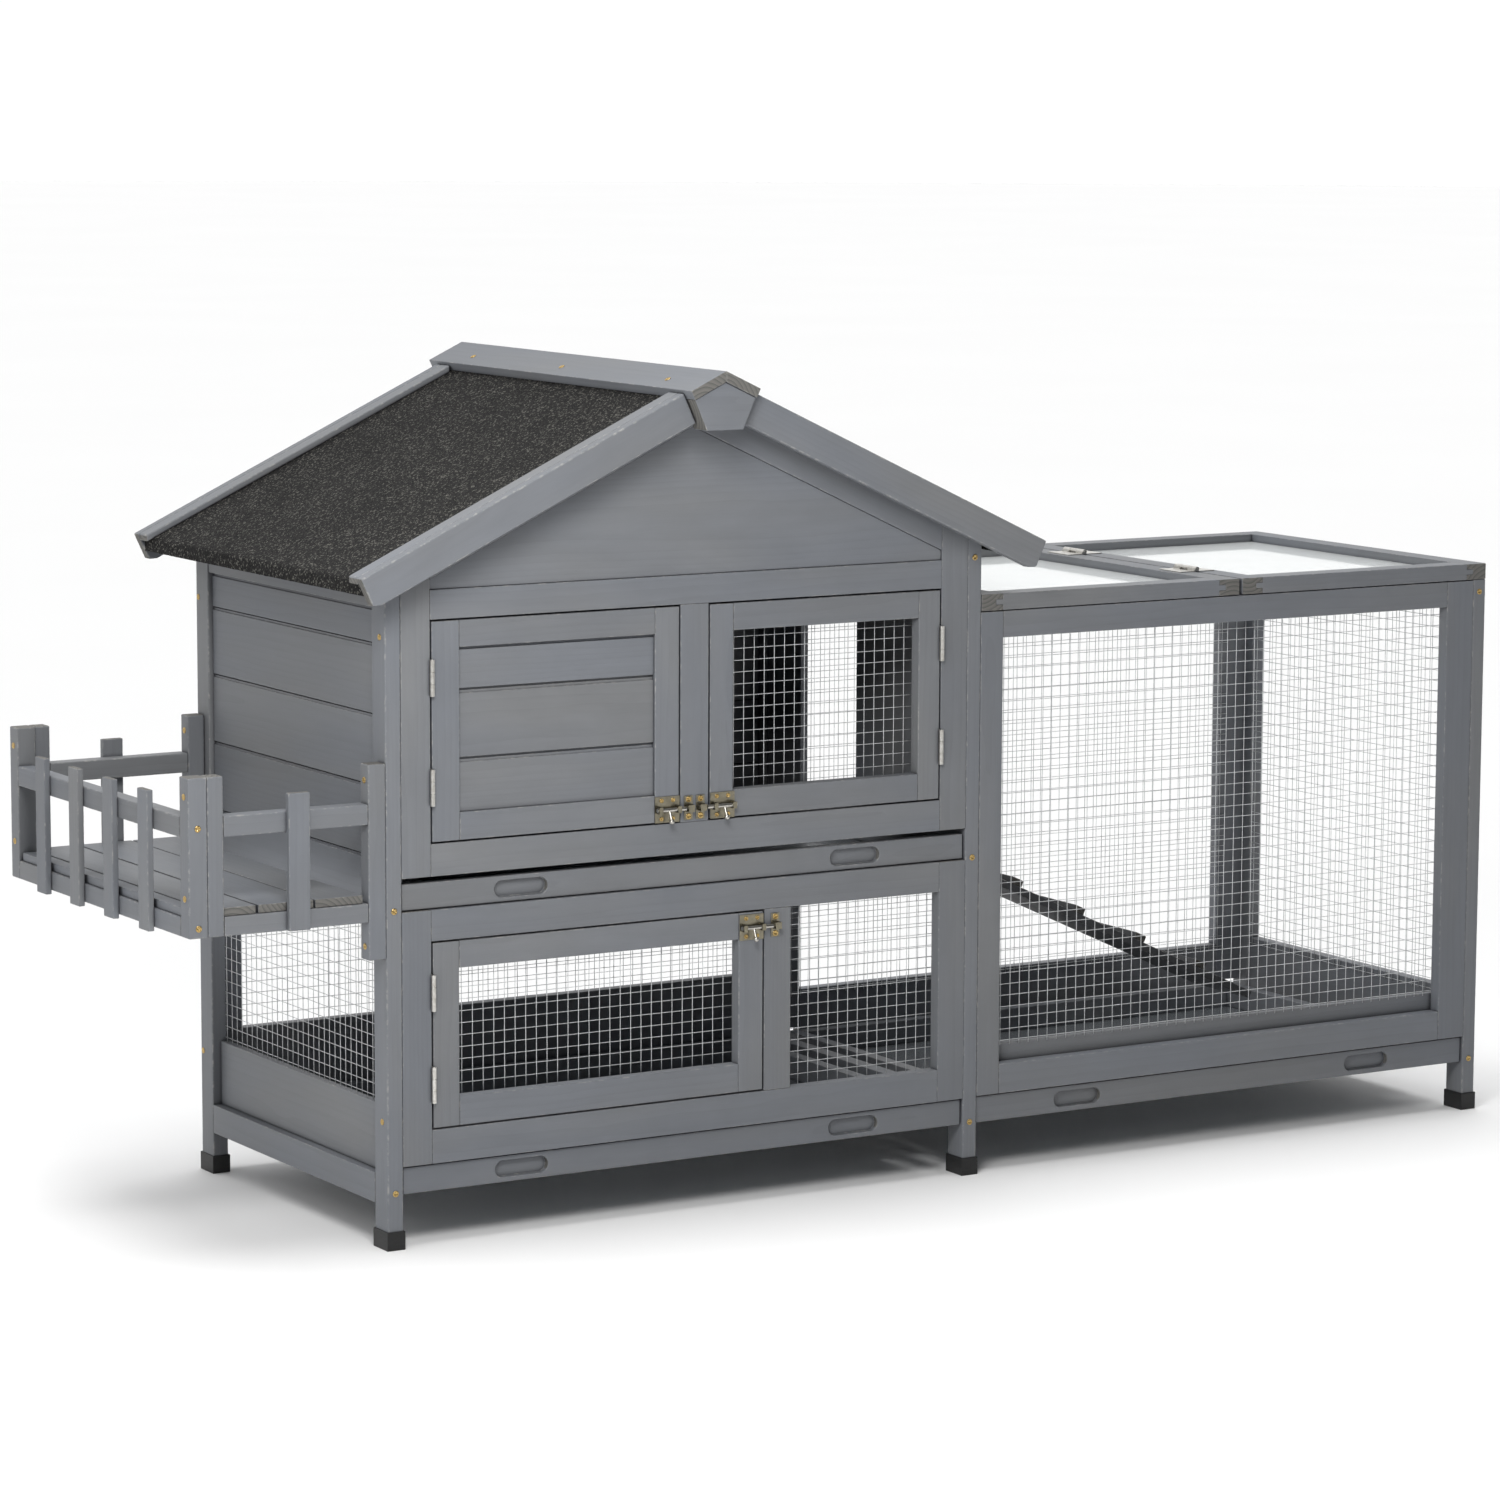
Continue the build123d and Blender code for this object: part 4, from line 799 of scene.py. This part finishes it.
plank_wall("left_wall_planks", Vector((-1, 0, 0)))
plank_wall("back_wall_boards", Vector((0, 1, 0)), plain=(5, 6, 7, 8))
plank_wall("solid_door_planks", Vector((0, -1, 0)), step=3.0, gap=2.4)
felt_node("roof_felt")
plain_node("foot_caps", "foot_caps_moulded", RUBBER, 0.7)
plain_node("fixed_lid_sheet", "fixed_lid_clear", SHEET, 0.3, 2)
plain_node("opening_lid_sheet", "opening_lid_clear", SHEET, 0.3, 2)
for tray in ("upper_tray_pan", "lower_tray_pan", "run_tray_pan"):
    plain_node(tray, tray + "_sheet", PAN, 0.2, 1)


# ---- studio ---------------------------------------------------------------------------------
FLOOR_RADIUS = 40.0
KEY_PLACE = (-1.0, -1.25, 1.35)
KEY_TARGET = (-0.4, -0.2, 0.65)
KEY_SIZE = (0.6, 0.6)
KEY_POWER = 18.5
KEY_COLOR = (1.0, 0.995, 0.985)
SUN_STRENGTH = 1.95
SUN_ANGLE = math.radians(40.0)
# direction, where the zone starts and is full along it, strength
WORLD_ZONES = (
    ((0.515, 0.857, 0.0), 0.15, 0.65, 1.03),
    ((-0.9, 0.2, 0.3), 0.4, 0.9, 0.76),
    ((0.0, 0.0, 1.0), 0.3, 0.9, 0.1),
)


def make_floor():
    """A wide round sheet of pale paper under the hutch."""
    bm = bmesh.new()
    bmesh.ops.create_circle(bm, cap_ends=True, radius=FLOOR_RADIUS, segments=96)
    mesh = bpy.data.meshes.new("studio_floor")
    bm.to_mesh(mesh)
    bm.free()
    g = Graph("studio_paper")
    tone = g.ramp(g.noise(g.place(), 0.8, 2.0, 0.5), [(0.3, grey(0.89)), (0.7, grey(0.90))])
    g.surface(Base_Color=tone, Roughness=0.9, Specular_IOR_Level=0.1)
    mesh.materials.append(g.material)
    add_object("studio_floor", mesh)


def area_light(name, place, target, size, power, color):
    data = bpy.data.lights.new(name, "AREA")
    data.shape = "RECTANGLE"
    data.size, data.size_y = size
    data.energy = power
    data.color = color
    light = add_object(name, data)
    light.location = place
    light.rotation_euler = (Vector(target) - Vector(place)).to_track_quat("-Z", "Y").to_euler()


def make_world():
    """A pale studio: bright behind and on the left, faint above, dark in front."""
    world = bpy.data.worlds.new("studio")
    scene.world = world
    world.use_nodes = True
    nodes, links = world.node_tree.nodes, world.node_tree.links
    where = nodes.new("ShaderNodeTexCoord").outputs["Generated"]
    total = None
    for axis, start, full, strength in WORLD_ZONES:
        along = nodes.new("ShaderNodeVectorMath")
        along.operation = "DOT_PRODUCT"
        links.new(where, along.inputs[0])
        along.inputs[1].default_value = axis
        zone = nodes.new("ShaderNodeMapRange")
        zone.interpolation_type = "SMOOTHSTEP"
        zone.inputs[1].default_value = start
        zone.inputs[2].default_value = full
        zone.inputs[4].default_value = strength
        links.new(along.outputs["Value"], zone.inputs[0])
        if total is None:
            total = zone.outputs[0]
        else:
            both = nodes.new("ShaderNodeMath")
            links.new(total, both.inputs[0])
            links.new(zone.outputs[0], both.inputs[1])
            total = both.outputs[0]
    links.new(total, nodes["Background"].inputs["Color"])


def make_lights():
    """One soft lamp at the front left, over a wide and even light from above."""
    area_light("key", KEY_PLACE, KEY_TARGET, KEY_SIZE, KEY_POWER, KEY_COLOR)
    overhead = add_object("overhead", bpy.data.lights.new("overhead", "SUN"))
    overhead.data.energy = SUN_STRENGTH
    overhead.data.angle = SUN_ANGLE
    scene.view_settings.view_transform = "Standard"


make_camera()
make_floor()
make_world()
make_lights()
